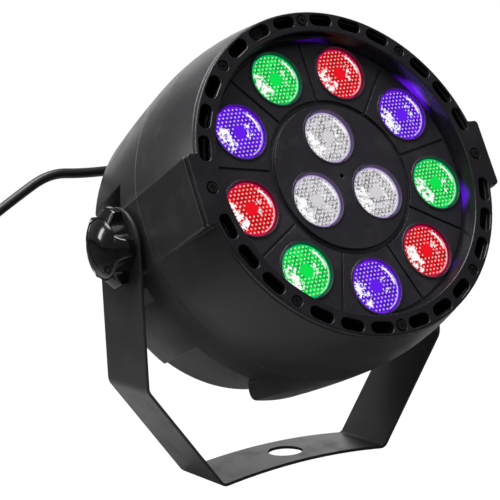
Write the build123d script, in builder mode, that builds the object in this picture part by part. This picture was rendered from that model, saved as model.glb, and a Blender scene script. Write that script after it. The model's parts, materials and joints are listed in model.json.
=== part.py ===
"""Par light: a round plastic head with twelve lenses, tilting in a bent steel yoke.

Row frame: X along the pivot, +Z up, the face towards -Y and tilted up. The origin is the centre of
the yoke's big hole, at the underside of the strap. All sizes are in millimetres, angles in degrees.
Places in the head are given as x (right), y (up in the face) and depth behind the front plane.
"""

import math
import os

from build123d import *

os.makedirs("parts", exist_ok=True)

# Lens layout, from the middle of the face out to the bezel
lens_radius = 12.4
centre_land_radius = 7.1
inner_ring_radius = lens_radius + centre_land_radius
disc_margin = 3.3
disc_radius = inner_ring_radius + lens_radius + disc_margin
ring_gap = 9.0
outer_ring_radius = inner_ring_radius + 2 * lens_radius + ring_gap
throat_margin = 2.1
bezel_throat_radius = outer_ring_radius + lens_radius + throat_margin
bezel_taper = 1.2
bezel_opening_radius = bezel_throat_radius + bezel_taper
bezel_ring_width = 10.0
bezel_radius = bezel_opening_radius + bezel_ring_width

# Overall sizes
tab_reach = 3.5
tab_span = 2 * (bezel_radius + tab_reach)
pad_proud = 0.8
pad_span = 2 * (bezel_radius + tab_reach + pad_proud)
tab_height = 33.0
tab_corner = 1.2
head_tilt = 25.7
pivot_depth = 69.8
pivot_height = 115.0
seam_depth = 49.0
lands_depth = 110.0
plateau_height = 11.0
back_depth = lands_depth + plateau_height
wall = 2.4
overrun = 5.0
seat_clearance = 0.1

# Bezel
bezel_thickness = 2.5
bezel_wall = 2.0
bezel_edge = 0.6
ring_inset = 4.4
ring_radius = bezel_radius - ring_inset
slot_length = 12.0
slot_width = 5.6
slot_angles = [14.0, 26.0, 38.0, 58.0, 70.0, 82.0]
large_screw_angles = [0.0, 90.0, 180.0, 270.0]
small_screw_angles = [48.0, 132.0, 228.0, 312.0]
large_head_radius = 2.3
large_head_height = 1.5
large_head_proud = 0.2
small_head_radius = 2.1
small_head_height = 1.0
small_head_sunk = 0.5
head_seat_gap = 0.5
bezel_shank_radius = 1.4
bezel_shank_length = 9.0
drive_width = 0.6
drive_depth = 0.6
drive_length_share = 1.2
bezel_boss_radius = 3.4
bezel_boss_length = 12.0

# Fascia and lenses
fascia_depth = 9.2
fascia_thickness = 2.0
field_rise = 0.9
field_inset = 1.2
field_radius = bezel_throat_radius - field_inset
fascia_overlap = 2.5
fascia_radius = bezel_throat_radius + fascia_overlap
fascia_skirt = 1.7
disc_rise = 1.6
groove_width = 1.2
groove_depth = 0.2
channel_width = 2.6
channel_depth = 0.5
centre_hole_radius = 1.0
lens_gap = 0.5
rim_width = 1.0
rim_rise = 1.5
disc_rim_rise = 0.3
lens_front_depth = 9.0
lens_crown = 0.6
lens_flange = 2.6
holder_gap = 0.1
holder_wall = 0.9
cone_gap = 0.3
holder_outer_radius = lens_radius + holder_gap
holder_inner_radius = holder_outer_radius - holder_wall
cone_top_radius = holder_outer_radius - (holder_wall + cone_gap)
cone_base_radius = 5.2
lens_back_depth = 19.6
led_pocket_radius = 3.4
led_pocket_depth = 2.2
outer_lens_step = 40.0
outer_lens_start = 70.0
inner_lens_start = 90.0

# Lamp stack behind the fascia
board_depth = 21.5
led_board_thickness = 1.6
stack_overlap = 1.0
stack_radius = bezel_opening_radius + stack_overlap
holder_floor = 0.6
holder_eye_radius = 4.2
led_width = 5.0
led_base_height = 0.9
led_dome_radius = 2.4
led_dome_height = 2.0
heat_sink_thickness = 3.0
fin_count = 7
fin_pitch = 14.0
fin_thickness = 2.0
fin_length = 84.0
fin_height = 12.0
stack_screw_radius = (inner_ring_radius + outer_ring_radius) / 2

# Housing
shell_front_step = 0.2
shell_front_radius = bezel_radius + shell_front_step
shoulder_swell = 3.6
shell_shoulder_radius = shell_front_radius + shoulder_swell
shell_shoulder_depth = 20.0
seam_swell = 5.2
seam_radius = shell_front_radius + seam_swell
waist_swell = 3.6
cover_waist_radius = bezel_radius + waist_swell
cover_waist_depth = 74.0
back_swell = 0.5
cover_back_radius = bezel_radius + back_swell
cover_corner = 8.0
land_width = 10.0
plateau_radius = cover_back_radius - land_width
plateau_edge = 3.0
pad_end_depth = 90.0
ledge_reach = 4.0
ledge_inner_radius = stack_radius - ledge_reach
ledge_thickness = 2.5
ledge_hole_radius = 4.0
bay_front_depth = 68.0
bay_step = 1.5
bay_front_radius = plateau_radius + bay_step
bay_starts = [-140.0, -76.0]
bay_arc = 37.0
notch_starts = [12.0, 159.5, 191.5, -20.5]
notch_arc = 8.5
lip_height = 3.0
lip_wall = 1.6

# Screws through the back of the housing
cover_screw_step = 3.5
cover_screw_radius = plateau_radius + cover_screw_step
cover_screw_angles = [45.0, 135.0, 210.0, 330.0]
cover_post_radius = 4.6
cover_seat_depth = 62.0
cover_access_radius = 3.4
cover_screw_head_radius = 3.1
cover_screw_head_height = 2.4
cover_shank_radius = 1.8
cover_shank_length = 22.0

# Small machine screws
board_screw_head_radius = 2.7
board_screw_head_height = 1.8
board_screw_shank_radius = 1.5
board_screw_length = 6.0

# Supply board
supply_board_depth = 52.0
supply_board_width = 96.0
supply_board_height = 62.0
board_thickness = 1.6
supply_post_radius = 3.5
supply_post_inset = 6.0
supply_post_x = supply_board_width / 2 - supply_post_inset
supply_post_y = supply_board_height / 2 - supply_post_inset
transformer_width = 26.0
transformer_depth = 22.0
transformer_height = 18.0
transformer_place_shares = (-0.21, 0.13)
core_width = 12.0
core_depth = 30.0
core_height = 12.0
capacitor_radius = 8.0
capacitor_height = 24.0
capacitor_place_shares = [(0.125, -0.26), (0.335, -0.26)]
fuse_radius = 2.6
fuse_length = 20.0
fuse_cap_length = 5.0
fuse_cap_extra = 0.4
fuse_place_shares = (0.23, 0.29)

# Control board and what shows on the back
control_board_gap = 13.4
control_board_depth = back_depth - control_board_gap
control_board_width = 84.0
control_board_height = 44.0
control_x = 4.0
control_y = 24.0
control_post_inset = 5.0
control_post_x = control_board_width / 2 - control_post_inset
control_post_y = control_board_height / 2 - control_post_inset
control_post_radius = 3.0
display_y = 33.0
display_width = 36.0
display_height = 14.0
display_thickness = 7.0
window_width = 38.0
window_height = 17.0
window_thickness = 1.2
window_ledge = 2.0
microphone_side_inset = 10.0
microphone_top_inset = 12.0
microphone_x = control_x - control_board_width / 2 + microphone_side_inset
microphone_y = control_y + control_board_height / 2 - microphone_top_inset
microphone_radius = 4.8
microphone_height = 6.0
microphone_hole_radius = 1.2
button_names = ["menu_button", "down_button", "up_button", "enter_button"]
button_pitch = 15.0
button_row_y = 13.0
button_radius = 4.0
button_gap = 0.15
button_proud = 1.4
button_flange_radius = 5.2
button_flange_height = 1.4
button_flange_gap = 0.2
button_stem_radius = 2.0
button_travel = 1.0
switch_width = 6.0
switch_height = 3.8
switch_gap = 0.2

# Data sockets
socket_spread = 26.0
socket_y = -26.0
socket_flange_width = 26.0
socket_flange_height = 31.0
socket_flange_thickness = 2.0
socket_flange_corner = 3.0
socket_barrel_radius = 12.0
socket_barrel_length = 26.0
socket_cup_radius = 9.7
socket_cup_depth = 16.0
socket_insert_radius = 8.2
socket_insert_sunk = 1.0
pin_radius = 1.2
pin_tip_sunk = 3.0
pin_root = 6.0
contact_wall = 0.6
contact_place_shares = [(-0.475, 0.125), (0.475, 0.125), (0.0, -0.505)]
socket_screw_x = 9.5
socket_screw_y = 12.0

# Strain relief, angled, its outlet towards -X
gland_x = -15.0
gland_edge = 12.5
gland_y = plateau_radius - gland_edge
gland_flange_radius = 7.4
gland_flange_height = 2.0
gland_neck_radius = 5.0
gland_hole_radius = 4.0
gland_stand = 8.0
gland_boot_length = 30.0
gland_tip_radius = 3.4

# Loom between the boards
loom_radius = 1.6
loom_bend = 8.0
loom_rise_share = 1 / 3

# Yoke
strap_width = 36.0
strap_thickness = 1.5
washer_thickness = 2.2
arm_outer_face = pad_span / 2 + washer_thickness + strap_thickness
arm_bend_drop = 65.5
base_half_length = 49.0
arch_slope = 7.0
arch_share = 0.9
arm_bend_radius = 6.0
base_bend_radius = 4.0
mount_hole_diameter = 17.0

# Pivot: insert, stud, washer and hand knob
stud_radius = 4.0
running_clearance = 0.05
insert_radius = 6.0
insert_length = 17.0
insert_sunk = 1.0
pivot_boss_radius = 9.5
pivot_boss_length = 20.0
stud_grip = 12.0
washer_radius = 13.0
washer_bore_clearance = 0.3
knob_gap = 0.1
knob_radius = 19.0
knob_lobes = 5
knob_lobe_angle = 5.0
knob_flute_radius = 9.5
knob_flute_offset = 23.2
knob_collar_radius = 11.5
knob_collar_height = 1.6
knob_grip_height = 7.2
knob_bevel_height = 3.2
knob_shoulder_radius = 14.6
knob_dome_radius = 14.0
knob_dome_rise = 4.8
knob_edge = 1.0
knob_bore_depth = 9.0
thread_pitch = 1.25

# Mains lead
cord_diameter = 5.0
coil_centre_x = -196.0
coil_centre_y = 60.0
coil_outer_radius = 35.9
coil_pitch = 5.6
coil_layer_rise = 5.6
coil_bottom_turns = 3.0
coil_top_turns = 2.75
cord_route = [
    (-45.0, 78.0, 140.7),
    (-60.5, 78.0, 140.7),
    (-79.5, 78.2, 143.0),
    (-99.5, 77.8, 132.4),
    (-117.0, 77.4, 122.6),
    (-129.0, 78.0, 106.8),
    (-136.0, 79.6, 87.5),
    (-139.0, 82.0, 65.5),
    (-141.0, 85.5, 43.5),
    (-144.5, 90.0, 22.0),
    (-155.5, 94.0, 5.6),
]
cord_touchdown_x = -173.5
plug_length = 34.0
plug_width = 35.0
plug_neck_width = 14.0
plug_thickness = 13.7
plug_corner = 5.0
plug_boot_length = 16.0
plug_boot_radius = 4.6
plug_pin_radius = 2.0
plug_pin_length = 19.0
plug_pin_spacing = 18.6
plug_pin_root = 6.0
tail_length = 24.0

# The head's own frame
tilt = math.radians(head_tilt)
right = Vector(1, 0, 0)
face_out = Vector(0, -math.cos(tilt), math.sin(tilt))
face_up = Vector(0, math.sin(tilt), math.cos(tilt))
front_centre = Vector(0, 0, pivot_height) + face_out * pivot_depth
head_axis = Axis(front_centre, face_out)
half_span = pad_span / 2
cord_radius = cord_diameter / 2


def head_point(x, y, depth):
    """Return the row-frame point at x, y and depth of the head."""
    return front_centre + right * x + face_up * y - face_out * depth


def face_plane(depth, x=0.0, y=0.0):
    """Return a plane parallel to the face, looking out of it."""
    return Plane(origin=head_point(x, y, depth), x_dir=right, z_dir=face_out)


def section_plane(x=0.0, y=0.0):
    """Return a plane through an axis of the head, whose points are (radius, depth)."""
    return Plane(origin=head_point(x, y, 0), x_dir=right, z_dir=face_up)


def section_at(angle):
    """Return a half-section plane of the head, turned by an angle about the head's axis."""
    turn = math.radians(angle)
    outwards = right * math.cos(turn) + face_up * math.sin(turn)
    return Plane(origin=front_centre, x_dir=outwards, z_dir=outwards.cross(face_out * -1))


def spin_axis(x, y):
    """Return the axis out of the face through x and y."""
    return Axis(head_point(x, y, 0), face_out)


def polar(radius, angle):
    """Return the x and y of a place on a circle."""
    turn = math.radians(angle)
    return (radius * math.cos(turn), radius * math.sin(turn))


def pivot_plane(x, side):
    """Return a plane square to the pivot at x on one side, looking away from the head."""
    return Plane(origin=(side * x, 0, pivot_height), x_dir=(0, side, 0), z_dir=(side, 0, 0))


outer_places = [polar(outer_ring_radius, outer_lens_start - outer_lens_step * k) for k in range(9)]
inner_places = [polar(inner_ring_radius, inner_lens_start - 120 * k) for k in range(3)]
lens_places = outer_places + inner_places
outer_colours = ["red", "blue", "green"]
vent_angles = [base + side * a for base in (0, 180) for side in (1, -1) for a in slot_angles]
heat_sink_depth = board_depth + led_board_thickness
fin_depth = heat_sink_depth + heat_sink_thickness
stack_places = [polar(stack_screw_radius, angle) for angle in cover_screw_angles]
supply_places = [(sx * supply_post_x, sy * supply_post_y) for sx in (-1, 1) for sy in (-1, 1)]
control_places = [
    (control_x + sx * control_post_x, control_y + sy * control_post_y) for sx in (-1, 1) for sy in (-1, 1)
]
display_place = (control_x, display_y)
microphone_place = (microphone_x, microphone_y)
gland_place = (gland_x, gland_y)
cover_screw_places = [polar(cover_screw_radius, angle) for angle in cover_screw_angles]
socket_screw_places = [
    (side * socket_spread + sx * socket_screw_x, socket_y + sy * socket_screw_y)
    for side in (-1, 1)
    for sx in (-1, 1)
    for sy in (-1, 1)
]
large_screw_places = [polar(ring_radius, angle) for angle in large_screw_angles]
small_screw_places = [polar(ring_radius, angle) for angle in small_screw_angles]
button_places = [
    (control_x + (k - 1.5) * button_pitch, button_row_y) for k in range(len(button_names))
]
contact_places = [(socket_cup_radius * sx, socket_cup_radius * sy) for sx, sy in contact_place_shares]


def on_supply_board(share):
    """Return the place on the supply board at a share of its width and height."""
    return (supply_board_width * share[0], supply_board_height * share[1])


transformer_place = on_supply_board(transformer_place_shares)
capacitor_places = [on_supply_board(share) for share in capacitor_place_shares]
fuse_place = on_supply_board(fuse_place_shares)

# Front bezel: ring plate with two side tabs, vent slots and the throat wall
with BuildPart() as front_bezel:
    with BuildSketch(face_plane(0)):
        tabs = Rectangle(tab_span, tab_height)
        chamfer(tabs.vertices(), length=tab_corner)
        Circle(bezel_radius)
        Circle(bezel_opening_radius, mode=Mode.SUBTRACT)
        for angle in vent_angles:
            with PolarLocations(ring_radius, 1, start_angle=angle):
                SlotOverall(slot_length, slot_width, rotation=90, mode=Mode.SUBTRACT)
        with Locations(*large_screw_places, *small_screw_places):
            Circle(bezel_shank_radius + head_seat_gap, mode=Mode.SUBTRACT)
    extrude(amount=-bezel_thickness)
    circles = front_bezel.edges().filter_by(GeomType.CIRCLE)
    rims = circles.filter_by(lambda e: abs(e.radius - bezel_radius) < bezel_edge)
    front_rim = rims.filter_by(lambda e: abs((e @ 0 - front_centre).dot(face_out)) < bezel_edge)
    chamfer(front_rim, length=bezel_edge)
    with BuildSketch(section_plane()):
        with BuildLine():
            Polyline(
                (bezel_opening_radius, bezel_edge),
                (bezel_throat_radius, fascia_depth),
                (bezel_throat_radius + bezel_wall, fascia_depth),
                (bezel_opening_radius + bezel_wall, bezel_thickness),
                (bezel_opening_radius + bezel_wall, bezel_edge),
                close=True,
            )
        make_face()
    revolve(axis=head_axis)
    with BuildSketch(face_plane(0)):
        with Locations(*large_screw_places):
            Circle(large_head_radius + head_seat_gap)
    extrude(amount=-(large_head_height - large_head_proud), mode=Mode.SUBTRACT)
    with BuildSketch(face_plane(0)):
        with Locations(*small_screw_places):
            Circle(small_head_radius + head_seat_gap)
    extrude(amount=-(small_head_height + small_head_sunk), mode=Mode.SUBTRACT)
front_bezel.part.label = "front_bezel"
export_step(front_bezel.part, "parts/front_bezel.step")


def headed_screws(places, seat_depth, head_radius, head_height, shank_radius, shank_length, turn=1):
    """Return cross-headed screws whose heads sit at seat_depth; turn -1 drives them from behind."""
    with BuildPart() as screws:
        with BuildSketch(face_plane(seat_depth)):
            with Locations(*places):
                Circle(head_radius)
        extrude(amount=turn * head_height)
        with BuildSketch(face_plane(seat_depth)):
            with Locations(*places):
                Circle(shank_radius)
        extrude(amount=-turn * shank_length)
        with BuildSketch(face_plane(seat_depth - turn * head_height)):
            with Locations(*places):
                Rectangle(drive_length_share * head_radius, drive_width)
                Rectangle(drive_width, drive_length_share * head_radius)
        extrude(amount=-turn * drive_depth, mode=Mode.SUBTRACT)
    return screws


bezel_screws_large = headed_screws(
    large_screw_places,
    large_head_height - large_head_proud,
    large_head_radius,
    large_head_height,
    bezel_shank_radius,
    bezel_shank_length,
)
bezel_screws_large.part.label = "bezel_screws_large"
export_step(bezel_screws_large.part, "parts/bezel_screws_large.step")

bezel_screws_small = headed_screws(
    small_screw_places,
    small_head_height + small_head_sunk,
    small_head_radius,
    small_head_height,
    bezel_shank_radius,
    bezel_shank_length,
)
bezel_screws_small.part.label = "bezel_screws_small"
export_step(bezel_screws_small.part, "parts/bezel_screws_small.step")

# Fascia panel: nine wedge fields, a centre disc in a channel, a rim round each lens and a skirt
with BuildPart() as fascia_panel:
    with BuildSketch(face_plane(fascia_depth)):
        Circle(fascia_radius)
    extrude(amount=-fascia_thickness)
    with BuildSketch(face_plane(fascia_depth)):
        Circle(field_radius)
    extrude(amount=field_rise)
    with BuildSketch(face_plane(fascia_depth)):
        Circle(disc_radius)
    extrude(amount=disc_rise)
    with BuildSketch(face_plane(fascia_depth)):
        with Locations(*outer_places):
            Circle(lens_radius + lens_gap + rim_width)
    extrude(amount=rim_rise)
    with BuildSketch(face_plane(fascia_depth - disc_rise)):
        with Locations(*inner_places):
            Circle(lens_radius + lens_gap + rim_width)
    extrude(amount=disc_rim_rise)
    with BuildSketch(face_plane(fascia_depth - field_rise)):
        Circle(disc_radius + channel_width)
        Circle(disc_radius, mode=Mode.SUBTRACT)
    extrude(amount=-(field_rise + channel_depth), mode=Mode.SUBTRACT)
    with BuildSketch(face_plane(fascia_depth - field_rise)):
        for k in range(len(outer_places)):
            groove_angle = outer_lens_start + outer_lens_step * (k + 0.5)
            with PolarLocations((disc_radius + bezel_throat_radius) / 2, 1, start_angle=groove_angle):
                Rectangle(bezel_throat_radius - disc_radius, groove_width)
    extrude(amount=-(field_rise + groove_depth), mode=Mode.SUBTRACT)
    with BuildSketch(face_plane(fascia_depth + fascia_thickness)):
        with Locations(*lens_places):
            Circle(lens_radius + lens_gap)
        Circle(centre_hole_radius)
    extrude(amount=fascia_thickness + disc_rise + rim_rise, mode=Mode.SUBTRACT)
    with BuildSketch(face_plane(fascia_depth + fascia_thickness)):
        Circle(fascia_radius)
        Circle(fascia_radius - fascia_skirt, mode=Mode.SUBTRACT)
    extrude(amount=-(board_depth - fascia_depth - fascia_thickness))
fascia_panel.part.label = "fascia_panel"
export_step(fascia_panel.part, "parts/fascia_panel.step")


# Lenses: crowned front, flange and a cone towards the emitter, one piece each
def lens_at(place):
    """Return one lens at a place of the face."""
    flange_back = lens_front_depth + lens_flange
    with BuildPart() as lens:
        with BuildSketch(section_plane(*place)):
            with BuildLine():
                crown_top = (0, lens_front_depth - lens_crown)
                rim = (lens_radius, lens_front_depth)
                crown = SagittaArc(crown_top, rim, lens_crown / 4)
                Polyline(
                    crown @ 1,
                    (lens_radius, flange_back),
                    (cone_top_radius, flange_back),
                    (cone_base_radius, lens_back_depth),
                    (led_pocket_radius, lens_back_depth),
                    (led_pocket_radius, lens_back_depth - led_pocket_depth),
                    (0, lens_back_depth - led_pocket_depth),
                    crown @ 0,
                )
            make_face()
        revolve(axis=spin_axis(*place))
    return lens


lens_names = [f"lens_{outer_colours[k % 3]}_{k // 3 + 1}" for k in range(9)]
lens_names += [f"lens_white_{k + 1}" for k in range(3)]
for lens_name, place in zip(lens_names, lens_places):
    lens = lens_at(place)
    lens.part.label = lens_name
    export_step(lens.part, f"parts/{lens_name}.step")

# Lens holders: open cups that stand on the board and carry the flanges
with BuildPart() as lens_holders:
    with BuildSketch(face_plane(board_depth)):
        with Locations(*lens_places):
            Circle(holder_outer_radius)
    extrude(amount=board_depth - lens_front_depth - lens_flange)
    with BuildSketch(face_plane(board_depth - holder_floor)):
        with Locations(*lens_places):
            Circle(holder_inner_radius)
    extrude(amount=board_depth, mode=Mode.SUBTRACT)
    with BuildSketch(face_plane(board_depth)):
        with Locations(*lens_places):
            Circle(holder_eye_radius)
    extrude(amount=holder_floor, mode=Mode.SUBTRACT)
lens_holders.part.label = "lens_holders"
export_step(lens_holders.part, "parts/lens_holders.step")


def emitters(places):
    """Return one emitter, base and dome, at each place."""
    with BuildPart() as leds:
        with BuildSketch(face_plane(board_depth)):
            with Locations(*places):
                Rectangle(led_width, led_width)
        extrude(amount=led_base_height)
        for place in places:
            with BuildSketch(section_plane(*place)):
                with BuildLine():
                    base = board_depth - led_base_height
                    ball = (led_dome_radius**2 + led_dome_height**2) / (2 * led_dome_height)
                    lean = math.asin(led_dome_radius / ball) / 2
                    top = base - led_dome_height
                    middle = (ball * math.sin(lean), top + ball * (1 - math.cos(lean)))
                    dome = ThreePointArc((led_dome_radius, base), middle, (0, top))
                    Polyline(dome @ 1, (0, base), dome @ 0)
                make_face()
            revolve(axis=spin_axis(*place))
    return leds


emitter_groups = {colour: outer_places[k::3] for k, colour in enumerate(outer_colours)}
emitter_groups["white"] = inner_places
for colour, places in emitter_groups.items():
    leds = emitters(places)
    leds.part.label = f"led_emitters_{colour}"
    export_step(leds.part, f"parts/led_emitters_{colour}.step")

# LED board
with BuildPart() as led_board:
    with BuildSketch(face_plane(board_depth)):
        Circle(stack_radius)
        with Locations(*stack_places):
            Circle(board_screw_shank_radius + seat_clearance, mode=Mode.SUBTRACT)
    extrude(amount=-led_board_thickness)
led_board.part.label = "led_board"
export_step(led_board.part, "parts/led_board.step")

# Heat sink: plate, fins and the posts of the supply board
with BuildPart() as heat_sink:
    with BuildSketch(face_plane(heat_sink_depth)):
        Circle(stack_radius)
    extrude(amount=-heat_sink_thickness)
    with BuildSketch(face_plane(fin_depth)):
        with GridLocations(fin_pitch, 0, fin_count, 1):
            Rectangle(fin_thickness, fin_length)
        with Locations(*stack_places):
            Circle(supply_post_radius)
    extrude(amount=-fin_height)
    with BuildSketch(face_plane(fin_depth)):
        with Locations(*supply_places):
            Circle(supply_post_radius)
    extrude(amount=-(supply_board_depth - fin_depth))
    with BuildSketch(face_plane(heat_sink_depth)):
        with Locations(*stack_places):
            Circle(board_screw_shank_radius)
    extrude(amount=-board_screw_length, mode=Mode.SUBTRACT)
    with BuildSketch(face_plane(supply_board_depth)):
        with Locations(*supply_places):
            Circle(board_screw_shank_radius)
    extrude(amount=board_screw_length, mode=Mode.SUBTRACT)
heat_sink.part.label = "heat_sink"
export_step(heat_sink.part, "parts/heat_sink.step")


# Front shell: barrel, flat side pads, boss for each bezel screw, ledge and cover bosses
def barrel_points(inset):
    """Return front, shoulder and seam of the front shell's barrel, inset by a wall."""
    return [
        (shell_front_radius - inset, bezel_thickness),
        (shell_shoulder_radius - inset, shell_shoulder_depth),
        (seam_radius - inset, seam_depth),
    ]


def beyond_flats(half_width):
    """Return blocks that fill what stands out past a half width on both sides."""
    with BuildPart() as blocks:
        with BuildSketch(face_plane(-overrun)):
            with Locations((half_width + overrun, 0), (-half_width - overrun, 0)):
                Rectangle(2 * overrun, 2 * bezel_radius)
        extrude(amount=-(back_depth + 2 * overrun))
    return blocks


outer_flats = beyond_flats(half_span)
inner_flats = beyond_flats(half_span - wall)

with BuildPart() as shell_cavity:
    with BuildSketch(section_plane()):
        with BuildLine():
            curve = ThreePointArc(*barrel_points(wall))
            Polyline(curve @ 1, (0, seam_depth), (0, bezel_thickness), curve @ 0)
        make_face()
    revolve(axis=head_axis)
    add(inner_flats.part, mode=Mode.SUBTRACT)

with BuildPart() as front_shell:
    with BuildSketch(section_plane()):
        with BuildLine():
            curve = ThreePointArc(*barrel_points(0))
            Polyline(curve @ 1, (0, seam_depth), (0, bezel_thickness), curve @ 0)
        make_face()
    revolve(axis=head_axis)
    with BuildSketch(face_plane(bezel_thickness)):
        pads = Rectangle(pad_span, tab_height)
        chamfer(pads.vertices(), length=tab_corner)
    extrude(amount=bezel_thickness - seam_depth)
    add(outer_flats.part, mode=Mode.SUBTRACT)
    add(shell_cavity.part, mode=Mode.SUBTRACT)
    with BuildSketch(section_plane()):
        with BuildLine():
            Polyline(
                (ledge_inner_radius, fin_depth),
                (shell_shoulder_radius - wall / 2, fin_depth),
                (shell_shoulder_radius - wall / 2, fin_depth + ledge_thickness),
                (ledge_inner_radius, fin_depth + ledge_thickness),
                close=True,
            )
        make_face()
    revolve(axis=head_axis)
    with BuildSketch(face_plane(bezel_thickness)):
        with Locations(*large_screw_places, *small_screw_places):
            Circle(bezel_boss_radius)
    extrude(amount=-bezel_boss_length)
    with BuildSketch(face_plane(fin_depth)):
        with Locations(*cover_screw_places):
            Circle(cover_post_radius)
    extrude(amount=fin_depth - seam_depth)
    with BuildSketch(face_plane(bezel_thickness)):
        with Locations(*large_screw_places, *small_screw_places):
            Circle(bezel_shank_radius)
    extrude(amount=-bezel_boss_length, mode=Mode.SUBTRACT)
    with BuildSketch(face_plane(seam_depth)):
        with Locations(*cover_screw_places):
            Circle(cover_shank_radius)
    extrude(amount=seam_depth - fin_depth - ledge_thickness, mode=Mode.SUBTRACT)
    with BuildSketch(face_plane(fin_depth)):
        with PolarLocations(cover_screw_radius, 8, start_angle=22.5):
            Circle(ledge_hole_radius)
    extrude(amount=-ledge_thickness, mode=Mode.SUBTRACT)
front_shell.part.label = "front_shell"
export_step(front_shell.part, "parts/front_shell.step")


# Rear cover: tapered barrel with notches by the pads and two bays below, and a raised back
def cover_points(inset):
    """Return the rear cover's side, corner, step and edge points, inset by a wall."""
    corner_reach = (cover_corner - inset) * math.sqrt(0.5)
    edge_reach = (plateau_edge - inset) * math.sqrt(0.5)
    corner_centre = cover_back_radius - cover_corner
    edge_centre = plateau_radius - plateau_edge
    side = [
        (seam_radius - inset, seam_depth),
        (cover_waist_radius - inset, cover_waist_depth),
        (cover_back_radius - inset, lands_depth - cover_corner),
    ]
    corner = [
        side[2],
        (corner_centre + corner_reach, lands_depth - cover_corner + corner_reach),
        (corner_centre, lands_depth - inset),
    ]
    edge = [
        (plateau_radius - inset, back_depth - plateau_edge),
        (edge_centre + edge_reach, back_depth - plateau_edge + edge_reach),
        (edge_centre, back_depth - inset),
    ]
    return side, corner, (plateau_radius - inset, lands_depth - inset), edge


def bay(start, arc, grow):
    """Return the ring sector of one bay, grown on every side by a wall."""
    spread = math.degrees(grow / bay_front_radius)
    with BuildPart() as sector:
        with BuildSketch(section_at(start - spread)):
            with BuildLine():
                Polyline(
                    (bay_front_radius - grow, bay_front_depth - grow),
                    (seam_radius + overrun, bay_front_depth - grow),
                    (seam_radius + overrun, lands_depth),
                    (plateau_radius - grow, lands_depth),
                    close=True,
                )
            make_face()
        revolve(axis=head_axis, revolution_arc=arc + 2 * spread)
    return sector


bay_spans = [(start, bay_arc) for start in bay_starts] + [(start, notch_arc) for start in notch_starts]
bays_cut = [bay(start, arc, 0) for start, arc in bay_spans]
bays_walled = [bay(start, arc, wall) for start, arc in bay_spans]

with BuildPart() as cover_cavity:
    side, corner, step, edge = cover_points(wall)
    with BuildSketch(section_plane()):
        with BuildLine():
            ThreePointArc(*side)
            ThreePointArc(*corner)
            Polyline(corner[2], step, edge[0])
            ThreePointArc(*edge)
            Polyline(edge[2], (0, back_depth - wall), (0, seam_depth), side[0])
        make_face()
    revolve(axis=head_axis)
    add(inner_flats.part, mode=Mode.SUBTRACT)
    for sector in bays_walled:
        add(sector.part, mode=Mode.SUBTRACT)

with BuildPart() as cover_outside:
    side, corner, step, edge = cover_points(0)
    with BuildSketch(section_plane()):
        with BuildLine():
            ThreePointArc(*side)
            ThreePointArc(*corner)
            Polyline(corner[2], step, edge[0])
            ThreePointArc(*edge)
            Polyline(edge[2], (0, back_depth), (0, seam_depth), side[0])
        make_face()
    revolve(axis=head_axis)

with BuildPart() as cover_posts:
    with BuildSketch(face_plane(seam_depth)):
        with Locations(*cover_screw_places):
            Circle(cover_post_radius)
    extrude(amount=seam_depth - lands_depth + wall)
    add(cover_outside.part, mode=Mode.INTERSECT)

with BuildPart() as rear_cover:
    add(cover_outside.part)
    for sector in bays_cut:
        add(sector.part, mode=Mode.SUBTRACT)
    with BuildSketch(face_plane(seam_depth)):
        pads = Rectangle(pad_span, tab_height)
        chamfer(pads.vertices(), length=tab_corner)
    extrude(amount=seam_depth - pad_end_depth)
    add(outer_flats.part, mode=Mode.SUBTRACT)
    add(cover_cavity.part, mode=Mode.SUBTRACT)
    for side in (-1, 1):
        with BuildSketch(pivot_plane(half_span, side)):
            Circle(pivot_boss_radius)
        extrude(amount=-pivot_boss_length)
        with BuildSketch(pivot_plane(half_span, side)):
            Circle(insert_radius)
        extrude(amount=-(insert_sunk + insert_length), mode=Mode.SUBTRACT)
    add(cover_posts.part)
    with BuildSketch(face_plane(lands_depth)):
        with Locations(*cover_screw_places):
            Circle(cover_access_radius)
    extrude(amount=lands_depth - cover_seat_depth, mode=Mode.SUBTRACT)
    with BuildSketch(face_plane(seam_depth)):
        with Locations(*cover_screw_places):
            Circle(cover_shank_radius + seat_clearance)
    extrude(amount=seam_depth - cover_seat_depth, mode=Mode.SUBTRACT)
    with BuildSketch(face_plane(back_depth - wall)):
        with Locations(*control_places):
            Circle(control_post_radius)
    extrude(amount=back_depth - wall - control_board_depth - board_thickness)
    with BuildSketch(face_plane(control_board_depth + board_thickness)):
        with Locations(*control_places):
            Circle(board_screw_shank_radius)
    extrude(amount=-board_screw_length, mode=Mode.SUBTRACT)
    with BuildSketch(face_plane(back_depth)):
        with Locations(display_place):
            Rectangle(window_width, window_height)
    extrude(amount=window_thickness, mode=Mode.SUBTRACT)
    with BuildSketch(face_plane(back_depth)):
        with Locations(display_place):
            Rectangle(window_width - 2 * window_ledge, window_height - 2 * window_ledge)
        with Locations(*button_places):
            Circle(button_radius + button_gap)
        with Locations(microphone_place):
            Circle(microphone_hole_radius)
        with Locations(gland_place):
            Circle(gland_hole_radius)
        with Locations((-socket_spread, socket_y), (socket_spread, socket_y)):
            Circle(socket_barrel_radius)
        with Locations(*socket_screw_places):
            Circle(board_screw_shank_radius)
    extrude(amount=wall, mode=Mode.SUBTRACT)
rear_cover.part.label = "rear_cover"
export_step(rear_cover.part, "parts/rear_cover.step")

rear_cover_screws = headed_screws(
    cover_screw_places,
    cover_seat_depth,
    cover_screw_head_radius,
    cover_screw_head_height,
    cover_shank_radius,
    cover_shank_length,
    turn=-1,
)
rear_cover_screws.part.label = "rear_cover_screws"
export_step(rear_cover_screws.part, "parts/rear_cover_screws.step")

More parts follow.
